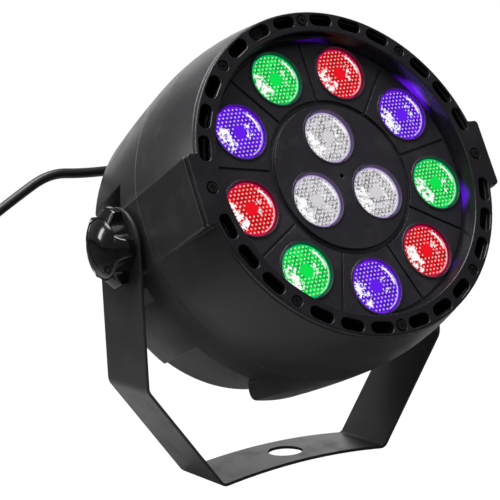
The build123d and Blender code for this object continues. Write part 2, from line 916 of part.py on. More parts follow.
# Board screws: LED board from the front, supply board and control board from behind and in front
small_screw = (
    board_screw_head_radius,
    board_screw_head_height,
    board_screw_shank_radius,
    board_screw_length,
)
led_board_screws = headed_screws(stack_places, board_depth, *small_screw)
supply_screws = headed_screws(supply_places, supply_board_depth + board_thickness, *small_screw, turn=-1)
control_screws = headed_screws(control_places, control_board_depth, *small_screw)
with BuildPart() as board_screws:
    add(led_board_screws.part)
    add(supply_screws.part)
    add(control_screws.part)
board_screws.part.label = "board_screws"
export_step(board_screws.part, "parts/board_screws.step")

# Supply board with its parts on the back
with BuildPart() as supply_board:
    with BuildSketch(face_plane(supply_board_depth)):
        Rectangle(supply_board_width, supply_board_height)
        with Locations(*supply_places):
            Circle(board_screw_shank_radius + seat_clearance, mode=Mode.SUBTRACT)
    extrude(amount=-board_thickness)
supply_board.part.label = "supply_board"
export_step(supply_board.part, "parts/supply_board.step")

supply_back = supply_board_depth + board_thickness
with BuildPart() as transformer:
    with BuildSketch(face_plane(supply_back, *transformer_place)):
        Rectangle(transformer_width, transformer_depth)
    extrude(amount=-transformer_height)
    core_start = supply_back + (transformer_height - core_height) / 2
    with BuildSketch(face_plane(core_start, *transformer_place)):
        Rectangle(core_width, core_depth)
    extrude(amount=-core_height)
transformer.part.label = "transformer"
export_step(transformer.part, "parts/transformer.step")

with BuildPart() as filter_capacitors:
    with BuildSketch(face_plane(supply_back)):
        with Locations(*capacitor_places):
            Circle(capacitor_radius)
    extrude(amount=-capacitor_height)
filter_capacitors.part.label = "filter_capacitors"
export_step(filter_capacitors.part, "parts/filter_capacitors.step")

with BuildPart() as supply_fuse:
    fuse_lift = fuse_radius + fuse_cap_extra
    fuse_start = head_point(fuse_place[0] - fuse_length / 2, fuse_place[1], supply_back + fuse_lift)
    with BuildSketch(Plane(origin=fuse_start, x_dir=face_up, z_dir=right)):
        Circle(fuse_radius)
    extrude(amount=fuse_length)
    for start in (0, fuse_length - fuse_cap_length):
        with BuildSketch(Plane(origin=fuse_start + right * start, x_dir=face_up, z_dir=right)):
            Circle(fuse_radius + fuse_cap_extra)
        extrude(amount=fuse_cap_length)
supply_fuse.part.label = "supply_fuse"
export_step(supply_fuse.part, "parts/supply_fuse.step")

# Control board and what stands on it
control_back = control_board_depth + board_thickness
with BuildPart() as control_board:
    with BuildSketch(face_plane(control_board_depth, control_x, control_y)):
        Rectangle(control_board_width, control_board_height)
    extrude(amount=-board_thickness)
    with BuildSketch(face_plane(control_board_depth)):
        with Locations(*control_places):
            Circle(board_screw_shank_radius + seat_clearance)
    extrude(amount=-board_thickness, mode=Mode.SUBTRACT)
control_board.part.label = "control_board"
export_step(control_board.part, "parts/control_board.step")

with BuildPart() as display_module:
    with BuildSketch(face_plane(control_back, *display_place)):
        Rectangle(display_width, display_height)
    extrude(amount=-display_thickness)
display_module.part.label = "display_module"
export_step(display_module.part, "parts/display_module.step")

with BuildPart() as display_window:
    with BuildSketch(face_plane(back_depth, *display_place)):
        Rectangle(window_width - 2 * seat_clearance, window_height - 2 * seat_clearance)
    extrude(amount=window_thickness)
display_window.part.label = "display_window"
export_step(display_window.part, "parts/display_window.step")

with BuildPart() as microphone:
    with BuildSketch(face_plane(control_back, *microphone_place)):
        Circle(microphone_radius)
    extrude(amount=-microphone_height)
microphone.part.label = "microphone"
export_step(microphone.part, "parts/microphone.step")

with BuildPart() as button_switches:
    with BuildSketch(face_plane(control_back)):
        with Locations(*button_places):
            Rectangle(switch_width, switch_width)
    extrude(amount=-switch_height)
button_switches.part.label = "button_switches"
export_step(button_switches.part, "parts/button_switches.step")

# Menu buttons: cap, inner flange and stem above its switch
flange_back_depth = back_depth - wall - button_flange_gap
stem_depth = control_back + switch_height + button_travel + switch_gap
for button_name, place in zip(button_names, button_places):
    with BuildPart() as button:
        with BuildSketch(face_plane(back_depth + button_proud, *place)):
            Circle(button_radius)
        extrude(amount=button_proud + back_depth - flange_back_depth)
        with BuildSketch(face_plane(flange_back_depth, *place)):
            Circle(button_flange_radius)
        extrude(amount=button_flange_height)
        with BuildSketch(face_plane(stem_depth, *place)):
            Circle(button_stem_radius)
        extrude(amount=stem_depth - flange_back_depth)
        crown = button.edges().filter_by(GeomType.CIRCLE).sort_by(Axis(front_centre, face_out))[0]
        fillet(crown, radius=button_proud / 2)
    button.part.label = button_name
    export_step(button.part, f"parts/{button_name}.step")


# Data sockets: flange outside, barrel inside
def socket_body(x):
    """Return a socket's flange and open barrel at x."""
    with BuildPart() as socket:
        with BuildSketch(face_plane(back_depth, x, socket_y)):
            RectangleRounded(socket_flange_width, socket_flange_height, socket_flange_corner)
        extrude(amount=-socket_flange_thickness)
        with BuildSketch(face_plane(back_depth, x, socket_y)):
            Circle(socket_barrel_radius)
        extrude(amount=socket_barrel_length)
        with BuildSketch(face_plane(back_depth + socket_flange_thickness, x, socket_y)):
            Circle(socket_cup_radius)
        extrude(amount=socket_cup_depth, mode=Mode.SUBTRACT)
        with BuildSketch(face_plane(back_depth + socket_flange_thickness, x, socket_y)):
            with GridLocations(2 * socket_screw_x, 2 * socket_screw_y, 2, 2):
                Circle(board_screw_shank_radius + seat_clearance)
        extrude(amount=socket_flange_thickness, mode=Mode.SUBTRACT)
    return socket


socket_face = back_depth + socket_flange_thickness
cup_floor = socket_face - socket_cup_depth
in_body = socket_body(-socket_spread)
out_body = socket_body(socket_spread)
with BuildPart() as dmx_in_socket:
    add(in_body.part)
    with BuildSketch(face_plane(cup_floor, -socket_spread, socket_y)):
        with Locations(*contact_places):
            Circle(pin_radius)
    extrude(amount=pin_root, mode=Mode.SUBTRACT)
dmx_in_socket.part.label = "dmx_in_socket"
export_step(dmx_in_socket.part, "parts/dmx_in_socket.step")

with BuildPart() as dmx_in_pins:
    with BuildSketch(face_plane(cup_floor - pin_root, -socket_spread, socket_y)):
        with Locations(*contact_places):
            Circle(pin_radius)
    extrude(amount=-(pin_root + socket_cup_depth - pin_tip_sunk))
dmx_in_pins.part.label = "dmx_in_pins"
export_step(dmx_in_pins.part, "parts/dmx_in_pins.step")

with BuildPart() as dmx_out_socket:
    add(out_body.part)
    with BuildSketch(face_plane(cup_floor, socket_spread, socket_y)):
        Circle(socket_insert_radius)
    extrude(amount=-(socket_cup_depth - socket_insert_sunk))
    with BuildSketch(face_plane(cup_floor, socket_spread, socket_y)):
        with Locations(*contact_places):
            Circle(pin_radius + contact_wall)
    extrude(amount=-socket_cup_depth, mode=Mode.SUBTRACT)
dmx_out_socket.part.label = "dmx_out_socket"
export_step(dmx_out_socket.part, "parts/dmx_out_socket.step")

with BuildPart() as dmx_out_contacts:
    with BuildSketch(face_plane(cup_floor, socket_spread, socket_y)):
        with Locations(*contact_places):
            Circle(pin_radius + contact_wall)
            Circle(pin_radius, mode=Mode.SUBTRACT)
    extrude(amount=-(socket_cup_depth - 2 * socket_insert_sunk))
dmx_out_contacts.part.label = "dmx_out_contacts"
export_step(dmx_out_contacts.part, "parts/dmx_out_contacts.step")

socket_screws = headed_screws(socket_screw_places, socket_face, *small_screw, turn=-1)
socket_screws.part.label = "socket_screws"
export_step(socket_screws.part, "parts/socket_screws.step")

# Strain relief: flange, neck, elbow and a tapered boot that points to -X
elbow_centre = head_point(*gland_place, back_depth + gland_stand)
with BuildPart() as cord_gland:
    with BuildSketch(face_plane(back_depth, *gland_place)):
        Circle(gland_flange_radius)
    extrude(amount=-gland_flange_height)
    with BuildSketch(face_plane(back_depth - wall, *gland_place)):
        Circle(gland_hole_radius)
    extrude(amount=-wall)
    with BuildSketch(face_plane(back_depth - wall, *gland_place)):
        Circle(gland_neck_radius)
    extrude(amount=gland_flange_height)
    with BuildSketch(face_plane(back_depth, *gland_place)):
        Circle(gland_neck_radius)
    extrude(amount=-gland_stand)
    with BuildSketch(Plane(origin=elbow_centre, x_dir=face_up, z_dir=(-1, 0, 0))):
        Circle(gland_neck_radius)
    with BuildSketch(Plane(origin=elbow_centre - right * gland_boot_length, x_dir=face_up, z_dir=(-1, 0, 0))):
        Circle(gland_tip_radius)
    loft()
    with BuildSketch(Plane(origin=elbow_centre, x_dir=right, z_dir=face_up)):
        with BuildLine():
            CenterArc((0, 0), gland_neck_radius, -90, 180)
            Line((0, gland_neck_radius), (0, -gland_neck_radius))
        make_face()
    revolve(axis=Axis(elbow_centre, face_out))
cord_gland.part.label = "cord_gland"
export_step(cord_gland.part, "parts/cord_gland.step")

# Wire loom between the supply board and the control board
loom_x = supply_post_x - fin_pitch / 2
loom_rise = (control_board_depth - supply_back) * loom_rise_share
loom_points = [
    head_point(loom_x, capacitor_radius, supply_back),
    head_point(loom_x, capacitor_radius, supply_back + loom_rise),
    head_point(control_post_x - loom_bend, control_y / 2, control_board_depth - loom_rise),
    head_point(control_post_x - loom_bend, control_y / 2, control_board_depth),
]
with BuildPart() as wire_loom:
    with BuildLine() as loom_line:
        FilletPolyline(*loom_points, radius=loom_bend)
    with BuildSketch(Plane(origin=loom_line.line @ 0, z_dir=loom_line.line % 0)):
        Circle(loom_radius)
    sweep(path=loom_line.line)
wire_loom.part.label = "wire_loom"
export_step(wire_loom.part, "parts/wire_loom.step")

# Pivot inserts, pressed into the rear cover
with BuildPart() as pivot_inserts:
    for side in (-1, 1):
        with BuildSketch(pivot_plane(half_span - insert_sunk, side)):
            Circle(insert_radius)
            Circle(stud_radius + running_clearance, mode=Mode.SUBTRACT)
        extrude(amount=-insert_length)
pivot_inserts.part.label = "pivot_inserts"
export_step(pivot_inserts.part, "parts/pivot_inserts.step")

# Friction washers between the pads and the arms
arm_inner_face = arm_outer_face - strap_thickness
with BuildPart() as friction_washers:
    for side in (-1, 1):
        with BuildSketch(pivot_plane(half_span, side)):
            Circle(washer_radius)
            Circle(stud_radius + washer_bore_clearance, mode=Mode.SUBTRACT)
        extrude(amount=arm_inner_face - half_span)
friction_washers.part.label = "friction_washers"
export_step(friction_washers.part, "parts/friction_washers.step")

# Yoke: one strap, bent at four places, arched between its feet
arm_line = arm_outer_face - strap_thickness / 2
base_half = base_half_length - strap_thickness / 2
slope = math.radians(arch_slope)
arch_radius = arch_share * base_half / math.tan(slope)
arch_lift = arch_radius * (1 / math.cos(slope) - 1)
arch_apex = strap_thickness / 2 + arch_lift
foot_level = arch_apex - base_half * math.tan(slope)
bend_level = pivot_height - arm_bend_drop
strap_points = [
    (-arm_line, 0, pivot_height),
    (-arm_line, 0, bend_level),
    (-base_half, 0, foot_level),
    (0, 0, arch_apex),
    (base_half, 0, foot_level),
    (arm_line, 0, bend_level),
    (arm_line, 0, pivot_height),
]
strap_radii = [arm_bend_radius, base_bend_radius, arch_radius, base_bend_radius, arm_bend_radius]
with BuildPart() as bracket:
    with BuildLine() as strap_line:
        FilletPolyline(*strap_points, radius=strap_radii)
    with BuildSketch(Plane(origin=strap_points[0], x_dir=(0, 1, 0), z_dir=(0, 0, -1))):
        Rectangle(strap_width, strap_thickness)
    sweep(path=strap_line.line)
    for side in (-1, 1):
        with BuildSketch(pivot_plane(arm_outer_face, side)):
            Circle(strap_width / 2)
        extrude(amount=-strap_thickness)
        with BuildSketch(pivot_plane(arm_outer_face, side)):
            Circle(stud_radius + running_clearance)
        extrude(amount=-strap_thickness, mode=Mode.SUBTRACT)
    with BuildSketch(Plane.XY.offset(-overrun)):
        Circle(mount_hole_diameter / 2)
    extrude(amount=2 * overrun, mode=Mode.SUBTRACT)
bracket.part.label = "bracket"
export_step(bracket.part, "parts/bracket.step")
floor_level = bracket.part.bounding_box().min.Z
print(f"floor level {floor_level:.3f}")

# Hand knobs: collar, lobed grip and domed cap
knob_start = arm_outer_face + knob_gap
grip_start = knob_start + knob_collar_height
dome_start = grip_start + knob_grip_height
for side, hand in ((-1, "left"), (1, "right")):
    knob_section = Plane(origin=(0, 0, pivot_height), x_dir=(side, 0, 0), z_dir=(0, -side, 0))
    with BuildPart() as knob_grip:
        with BuildSketch(knob_section):
            with BuildLine():
                Polyline(
                    (grip_start, 0),
                    (grip_start, knob_radius - knob_edge),
                    (grip_start + knob_edge, knob_radius),
                    (dome_start - knob_bevel_height, knob_radius),
                    (dome_start, knob_shoulder_radius),
                    (dome_start, 0),
                    close=True,
                )
            make_face()
        revolve(axis=Axis((0, 0, pivot_height), (1, 0, 0)))
        with BuildSketch(pivot_plane(grip_start, side)):
            with PolarLocations(
                knob_flute_offset, knob_lobes, start_angle=knob_lobe_angle + 180 / knob_lobes
            ):
                Circle(knob_flute_radius)
        extrude(amount=knob_grip_height, mode=Mode.SUBTRACT)

    with BuildPart() as knob:
        with BuildSketch(pivot_plane(knob_start, side)):
            Circle(knob_collar_radius)
        extrude(amount=knob_collar_height)
        add(knob_grip.part)
        with BuildSketch(knob_section):
            with BuildLine():
                sphere = (knob_dome_radius**2 + knob_dome_rise**2) / (2 * knob_dome_rise)
                lean = math.asin(knob_dome_radius / sphere) / 2
                middle_rise = knob_dome_rise - sphere * (1 - math.cos(lean))
                middle = (dome_start + middle_rise, sphere * math.sin(lean))
                dome = ThreePointArc((dome_start + knob_dome_rise, 0), middle, (dome_start, knob_dome_radius))
                Polyline(dome @ 1, (grip_start, knob_dome_radius), (grip_start, 0), dome @ 0)
            make_face()
        revolve(axis=Axis((0, 0, pivot_height), (1, 0, 0)))
        with BuildSketch(pivot_plane(knob_start, side)):
            Circle(stud_radius + running_clearance)
        extrude(amount=knob_bore_depth, mode=Mode.SUBTRACT)
    knob.part.label = f"knob_{hand}"
    export_step(knob.part, f"parts/knob_{hand}.step")

    with BuildPart() as stud:
        with BuildSketch(pivot_plane(half_span - insert_sunk - stud_grip, side)):
            Circle(stud_radius)
        extrude(amount=knob_start + knob_bore_depth - seat_clearance - half_span + insert_sunk + stud_grip)
    stud.part.label = f"stud_{hand}"
    export_step(stud.part, f"parts/stud_{hand}.step")


# Mains lead
def route_radii(points):
    """Return the arc radius at each corner of a route: 0.45 of the shorter run over the half turn."""
    radii = []
    for before, corner, after in zip(points, points[1:], points[2:]):
        arriving = Vector(*corner) - Vector(*before)
        leaving = Vector(*after) - Vector(*corner)
        turn = math.radians(arriving.get_angle(leaving))
        radii.append(0.45 * min(arriving.length, leaving.length) / math.tan(turn / 2))
    return radii


def round_tube(path):
    """Return a cord tube along a path."""
    with BuildPart() as tube:
        with BuildSketch(Plane(origin=path @ 0, z_dir=path % 0)):
            Circle(cord_radius)
        sweep(path=path)
    return tube


# Coil: spirals in on the floor, climbs in half a turn and spirals out on top
coil_inner_radius = coil_outer_radius - coil_pitch * coil_bottom_turns
coil_height = floor_level + cord_radius
coil_turns = coil_bottom_turns + 0.5 + coil_top_turns


def coil_point(turns):
    """Return the coil's centreline after a number of turns from its start."""
    climb = min(max((turns - coil_bottom_turns) * 2, 0), 1)
    if turns < coil_bottom_turns:
        radius = coil_outer_radius - coil_pitch * turns
    else:
        radius = coil_inner_radius + coil_pitch * max(turns - coil_bottom_turns - 0.5, 0)
        radius -= coil_pitch / 4 * math.sin(math.pi * climb)
    angle = 2 * math.pi * (turns + 0.25)
    rise = coil_layer_rise * climb * climb * (3 - 2 * climb)
    return Vector(
        coil_centre_x + radius * math.cos(angle), coil_centre_y + radius * math.sin(angle), coil_height + rise
    )


def coil_heading(turns):
    """Return the unit direction of the coil's centreline there."""
    step = 0.001
    return (coil_point(turns + step) - coil_point(turns - step)).normalized()


def joining_point(start, start_heading, end, end_heading):
    """Return where the two arcs of a biarc meet."""
    span = end - start
    headings = start_heading + end_heading
    spread = 2 * (1 - start_heading.dot(end_heading))
    along = span.dot(headings)
    reach = (math.sqrt(along * along + spread * span.dot(span)) - along) / spread
    return (start + end + (start_heading - end_heading) * reach) * 0.5


coil_steps = round(coil_turns * 4)
coil_marks = [k * coil_turns / coil_steps for k in range(coil_steps + 1)]
coil_points = [coil_point(mark) for mark in coil_marks]
coil_headings = [coil_heading(mark) for mark in coil_marks]
coil_headings[0] = Vector(-1, 0, 0)
coil_headings[-1] = Vector(0, -1, 0)
coil_start = coil_points[0] - coil_headings[0] * cord_diameter
coil_end = coil_points[-1] + coil_headings[-1] * cord_diameter
with BuildLine() as coil_line:
    Line(coil_start, coil_points[0])
    for k in range(coil_steps):
        middle = joining_point(coil_points[k], coil_headings[k], coil_points[k + 1], coil_headings[k + 1])
        first = TangentArc(coil_points[k], middle, tangent=coil_headings[k])
        TangentArc(middle, coil_points[k + 1], tangent=first % 1)
    Line(coil_points[-1], coil_end)
mains_cord_coil = round_tube(coil_line.line)
mains_cord_coil.part.label = "mains_cord_coil"
export_step(mains_cord_coil.part, "parts/mains_cord_coil.step")

coil_wire = coil_line.wire()
sample_count = 900
samples = [coil_wire @ (k / sample_count) for k in range(sample_count)]
apart = math.ceil(3 * cord_diameter * sample_count / coil_wire.length)
least = min(
    (samples[a] - samples[b]).length for a in range(sample_count) for b in range(a + apart, sample_count)
)
print(f"coil length {coil_wire.length:.1f}, least gap {least - cord_diameter:.2f}")
print(f"coil starts {coil_start}, ends {coil_end}")

# Stretch from the strain relief down to the coil
cord_points = cord_route + [(cord_touchdown_x, coil_start.Y, coil_start.Z), tuple(coil_start)]
cord_radii = route_radii(cord_points)
print("cord radii", [round(radius, 1) for radius in cord_radii])
with BuildLine() as cord_line:
    FilletPolyline(*cord_points, radius=cord_radii)
mains_cord = round_tube(cord_line.line)
mains_cord.part.label = "mains_cord"
export_step(mains_cord.part, "parts/mains_cord.step")
cord_length = cord_line.wire().length
volume_ratio = mains_cord.part.volume / (math.pi * cord_radius**2 * cord_length)
print(f"cord length {cord_length:.1f}, volume ratio {volume_ratio:.4f}")

# Tail from the coil to the plug
plug_level = floor_level + plug_thickness / 2
tail_drop = coil_end.Z - plug_level
tail_shares = [(0.0, 0.0), (0.33, 0.0), (0.67, 1.0), (1.0, 1.0)]
tail_points = [
    (coil_end.X, coil_end.Y - tail_length * along, coil_end.Z - tail_drop * down)
    for along, down in tail_shares
]
tail_radii = route_radii(tail_points)
print("tail radii", [round(radius, 1) for radius in tail_radii])
with BuildLine() as tail_line:
    FilletPolyline(*tail_points, radius=tail_radii)
mains_cord_tail = round_tube(tail_line.line)
mains_cord_tail.part.label = "mains_cord_tail"
export_step(mains_cord_tail.part, "parts/mains_cord_tail.step")

# Plug: boot, tapered flat body and two round pins, lying flat
plug_x = coil_end.X
boot_y = coil_end.Y - tail_length
body_y = boot_y - plug_boot_length
plug_front = body_y - plug_length
with BuildPart() as mains_plug:
    with BuildSketch(Plane(origin=(plug_x, boot_y, plug_level), x_dir=(1, 0, 0), z_dir=(0, -1, 0))):
        Circle(gland_tip_radius)
    with BuildSketch(Plane(origin=(plug_x, body_y, plug_level), x_dir=(1, 0, 0), z_dir=(0, -1, 0))):
        Circle(plug_boot_radius)
    loft()
    with BuildSketch(Plane(origin=(plug_x, body_y, floor_level), x_dir=(1, 0, 0), z_dir=(0, 0, 1))):
        with BuildLine():
            Polyline(
                (-plug_neck_width / 2, 0),
                (plug_neck_width / 2, 0),
                (plug_width / 2, -plug_length / 2),
                (plug_width / 2, -plug_length),
                (-plug_width / 2, -plug_length),
                (-plug_width / 2, -plug_length / 2),
                close=True,
            )
        make_face()
    extrude(amount=plug_thickness)
    fillet(mains_plug.edges().filter_by(Axis.Z), radius=plug_corner / 2)
    with BuildSketch(Plane(origin=(plug_x, plug_front, plug_level), x_dir=(1, 0, 0), z_dir=(0, -1, 0))):
        with GridLocations(plug_pin_spacing, 0, 2, 1):
            Circle(plug_pin_radius)
    extrude(amount=-plug_pin_root, mode=Mode.SUBTRACT)
mains_plug.part.label = "mains_plug"
export_step(mains_plug.part, "parts/mains_plug.step")

with BuildPart() as plug_pins:
    with BuildSketch(
        Plane(origin=(plug_x, plug_front + plug_pin_root, plug_level), x_dir=(1, 0, 0), z_dir=(0, -1, 0))
    ):
        with GridLocations(plug_pin_spacing, 0, 2, 1):
            Circle(plug_pin_radius)
    extrude(amount=plug_pin_root + plug_pin_length)
plug_pins.part.label = "plug_pins"
export_step(plug_pins.part, "parts/plug_pins.step")
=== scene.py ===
"""The looks of a par light: a round black lamp head with twelve coloured lenses in a bent steel yoke.

Everything is built in metres in the model's own frame: X along the tilt axis, Z up, the face towards -Y.
Places in the head are given in millimetres as right, up and depth behind the front plane.
"""

from __future__ import annotations

import json
import logging
import math
from dataclasses import dataclass
from enum import Enum
from typing import Callable, Sequence

import bmesh
import bpy
from mathutils import Matrix, Vector

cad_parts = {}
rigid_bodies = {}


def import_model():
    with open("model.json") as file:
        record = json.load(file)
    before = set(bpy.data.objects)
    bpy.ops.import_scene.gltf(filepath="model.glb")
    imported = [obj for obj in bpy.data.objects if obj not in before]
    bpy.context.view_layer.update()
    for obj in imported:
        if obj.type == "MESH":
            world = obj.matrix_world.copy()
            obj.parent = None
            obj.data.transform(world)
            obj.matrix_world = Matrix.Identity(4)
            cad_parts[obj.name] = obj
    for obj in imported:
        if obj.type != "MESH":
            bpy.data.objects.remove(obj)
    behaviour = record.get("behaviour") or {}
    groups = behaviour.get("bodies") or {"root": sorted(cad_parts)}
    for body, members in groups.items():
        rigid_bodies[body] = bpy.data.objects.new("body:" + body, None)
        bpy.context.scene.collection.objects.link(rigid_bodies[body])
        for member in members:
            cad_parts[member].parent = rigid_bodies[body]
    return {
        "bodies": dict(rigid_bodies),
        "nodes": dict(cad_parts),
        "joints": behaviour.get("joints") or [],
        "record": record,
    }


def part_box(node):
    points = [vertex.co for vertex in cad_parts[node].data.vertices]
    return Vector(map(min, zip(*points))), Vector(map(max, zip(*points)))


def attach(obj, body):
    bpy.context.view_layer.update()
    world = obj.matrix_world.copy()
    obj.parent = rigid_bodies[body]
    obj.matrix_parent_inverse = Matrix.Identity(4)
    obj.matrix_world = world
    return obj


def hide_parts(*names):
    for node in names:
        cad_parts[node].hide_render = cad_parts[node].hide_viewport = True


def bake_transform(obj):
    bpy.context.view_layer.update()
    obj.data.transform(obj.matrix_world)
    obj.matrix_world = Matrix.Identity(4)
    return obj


LOG = logging.getLogger("par_light")
MM = 0.001
Place = tuple[float, float]
Spot = tuple[float, float, float]
Colour = tuple[float, float, float]
Socket = bpy.types.NodeSocket

SMOOTH_ANGLE = 35.0
FLAT_ANGLE = 0.6
SHARP_ANGLE = 38.0
WELD_DISTANCE = 2e-6


@dataclass(frozen=True)
class HeadFrame:
    """Where the tilted head stands, with its pivot and front plane, in millimetres."""

    tilt: float = 25.7
    pivot_height: float = 115.0
    pivot_depth: float = 69.8

    def at(self, right: float = 0.0, up: float = 0.0, depth: float = 0.0) -> Matrix:
        """Return a placement whose Z looks out of the face.

        Args:
            right: Millimetres along the tilt axis.
            up: Millimetres up in the face.
            depth: Millimetres behind the front plane.

        Returns:
            The placement, in metres, for a mesh built in metres about its own origin.
        """
        lean = math.radians(self.tilt)
        out = Vector((0, -math.cos(lean), math.sin(lean)))
        high = Vector((0, math.sin(lean), math.cos(lean)))
        spot = Vector((0, 0, self.pivot_height)) + out * (self.pivot_depth - depth) + high * up
        spot.x = right
        turn = Matrix((Vector((1, 0, 0)), high, out)).transposed().to_4x4()
        return Matrix.Translation(spot * MM) @ turn


HEAD = HeadFrame()


def around(radius: float, angle: float) -> Place:
    """Return the place on a circle at an angle in degrees."""
    return radius * math.cos(math.radians(angle)), radius * math.sin(math.radians(angle))


class Mesher:
    """A mesh under construction, in metres."""

    def __init__(self) -> None:
        """Start an empty mesh."""
        self.bm = bmesh.new()

    def lathe(
        self, profile: Sequence[Place], place: Matrix, steps: int, reach: Callable[[float, float], float]
    ) -> "Mesher":
        """Spin a profile of radius and height about a placement's Z.

        Args:
            profile: Radius and height of each point, in millimetres, from top to bottom.
            place: Where the profile's axis stands.
            steps: Faces round the axis.
            reach: What makes the distance from the axis of a radius and an angle in degrees.

        Returns:
            The mesher, to be called again.
        """
        rings = []
        for radius, height in profile:
            if not radius:
                rings.append([self.bm.verts.new(place @ Vector((0, 0, height * MM)))])
                continue
            ring = []
            for k in range(steps):
                angle = 360 * k / steps
                x, y = around(reach(radius, angle) * MM, angle)
                ring.append(self.bm.verts.new(place @ Vector((x, y, height * MM))))
            rings.append(ring)
        for above, below in zip(rings, rings[1:]):
            for k in range(steps):
                corners = [above[k % len(above)], below[k % len(below)]]
                corners += [below[(k + 1) % len(below)], above[(k + 1) % len(above)]]
                unique = list(dict.fromkeys(corners))
                if len(unique) > 2:
                    self.bm.faces.new(unique)
        return self

    def tube(self, line: Sequence[Vector], radius: float, sides: int = 14) -> "Mesher":
        """Add a round tube along points.

        Args:
            line: The centre line, in metres.
            radius: The tube's radius in metres.
            sides: Faces round the tube.

        Returns:
            The mesher, to be called again.
        """
        rings = []
        side = Vector((0, 0, 1))
        for k, spot in enumerate(line):
            ahead = (line[min(k + 1, len(line) - 1)] - line[max(k - 1, 0)]).normalized()
            side = (side - ahead * side.dot(ahead)).normalized()
            other = ahead.cross(side)
            ring = []
            for m in range(sides):
                x, y = around(radius, 360 * m / sides)
                ring.append(self.bm.verts.new(spot + side * x + other * y))
            rings.append(ring)
        for behind, ahead_ring in zip(rings, rings[1:]):
            for m in range(sides):
                n = (m + 1) % sides
                self.bm.faces.new((behind[m], behind[n], ahead_ring[n], ahead_ring[m]))
        self.bm.faces.new(rings[0][::-1])
        self.bm.faces.new(rings[-1])
        return self

    def piece(self, name: str, finish: bpy.types.Material, smooth: float = SMOOTH_ANGLE) -> bpy.types.Object:
        """Close the mesh into a named object.

        Args:
            name: The object's name.
            finish: Its material.
            smooth: The edge angle in degrees under which faces shade as one.

        Returns:
            The new object, at the origin.
        """
        bmesh.ops.recalc_face_normals(self.bm, faces=self.bm.faces)
        mesh = bpy.data.meshes.new(name)
        self.bm.to_mesh(mesh)
        self.bm.free()
        return dressed(name, mesh, finish, smooth)


def smooth_faces(mesh: bpy.types.Mesh, angle: float = SMOOTH_ANGLE) -> None:
    """Shade faces that meet under an angle in degrees as one."""
    mesh.polygons.foreach_set("use_smooth", [True] * len(mesh.polygons))
    mesh.set_sharp_from_angle(angle=math.radians(angle))


def shown(name: str, data: bpy.types.ID) -> bpy.types.Object:
    """Return a new object of the scene that shows a mesh, curve, light or camera."""
    piece = bpy.data.objects.new(name, data)
    bpy.context.scene.collection.objects.link(piece)
    return piece


def dressed(
    name: str, mesh: bpy.types.Mesh, finish: bpy.types.Material, smooth: float = SMOOTH_ANGLE
) -> bpy.types.Object:
    """Return an object with a mesh, a material and smooth shading under an edge angle."""
    mesh.materials.clear()
    mesh.materials.append(finish)
    smooth_faces(mesh, smooth)
    return shown(name, mesh)


def settled(piece: bpy.types.Object) -> bpy.types.Object:
    """Apply every modifier of an object to its mesh and return the object."""
    graph = bpy.context.evaluated_depsgraph_get()
    mesh = bpy.data.meshes.new_from_object(piece.evaluated_get(graph))
    piece.modifiers.clear()
    piece.data = mesh
    return piece


def softened(
    node: str, name: str, finish: bpy.types.Material, width: float, segments: int = 2, merged: bool = True
) -> bpy.types.Object:
    """Return a copy of a node with its sharp edges rounded off, standing in for the node.

    Args:
        node: The node's name.
        name: The new piece's name.
        finish: Its material.
        width: The rounding's width in millimetres.
        segments: Faces across the rounding.
        merged: Whether flat faces are joined first, which suits faces without many holes.

    Returns:
        The new piece, which replaces the node.
    """
    source = FRAME["nodes"][node]
    shape = bmesh.new()
    shape.from_mesh(source.data)
    bmesh.ops.remove_doubles(shape, verts=shape.verts, dist=WELD_DISTANCE)
    if merged:
        flat = math.radians(FLAT_ANGLE)
        bmesh.ops.dissolve_limit(
            shape, angle_limit=flat, verts=shape.verts, edges=shape.edges, delimit={"NORMAL"}
        )
    mesh = bpy.data.meshes.new(name)
    shape.to_mesh(mesh)
    shape.free()
    piece = dressed(name, mesh, finish)
    bevel = piece.modifiers.new("rounding", "BEVEL")
    bevel.width = width * MM
    bevel.segments = segments
    bevel.limit_method = "ANGLE"
    bevel.angle_limit = math.radians(SHARP_ANGLE)
    bevel.use_clamp_overlap = False
    bevel.harden_normals = True
    weigh = piece.modifiers.new("even_shading", "WEIGHTED_NORMAL")
    weigh.keep_sharp = True
    weigh.weight = 100
    settled(piece)
    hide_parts(node)
    low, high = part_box(node)
    spots = [v.co for v in piece.data.vertices]
    spill = max(max(low[k] - min(s[k] for s in spots), max(s[k] for s in spots) - high[k]) for k in range(3))
    LOG.info("%s: %d corners, %.2f mm out of its box", name, len(spots), spill / MM)
    return piece


def socket_name(label: str) -> str:
    """Return the name that a group's socket has for a label."""
    return label.replace("_", " ").capitalize()


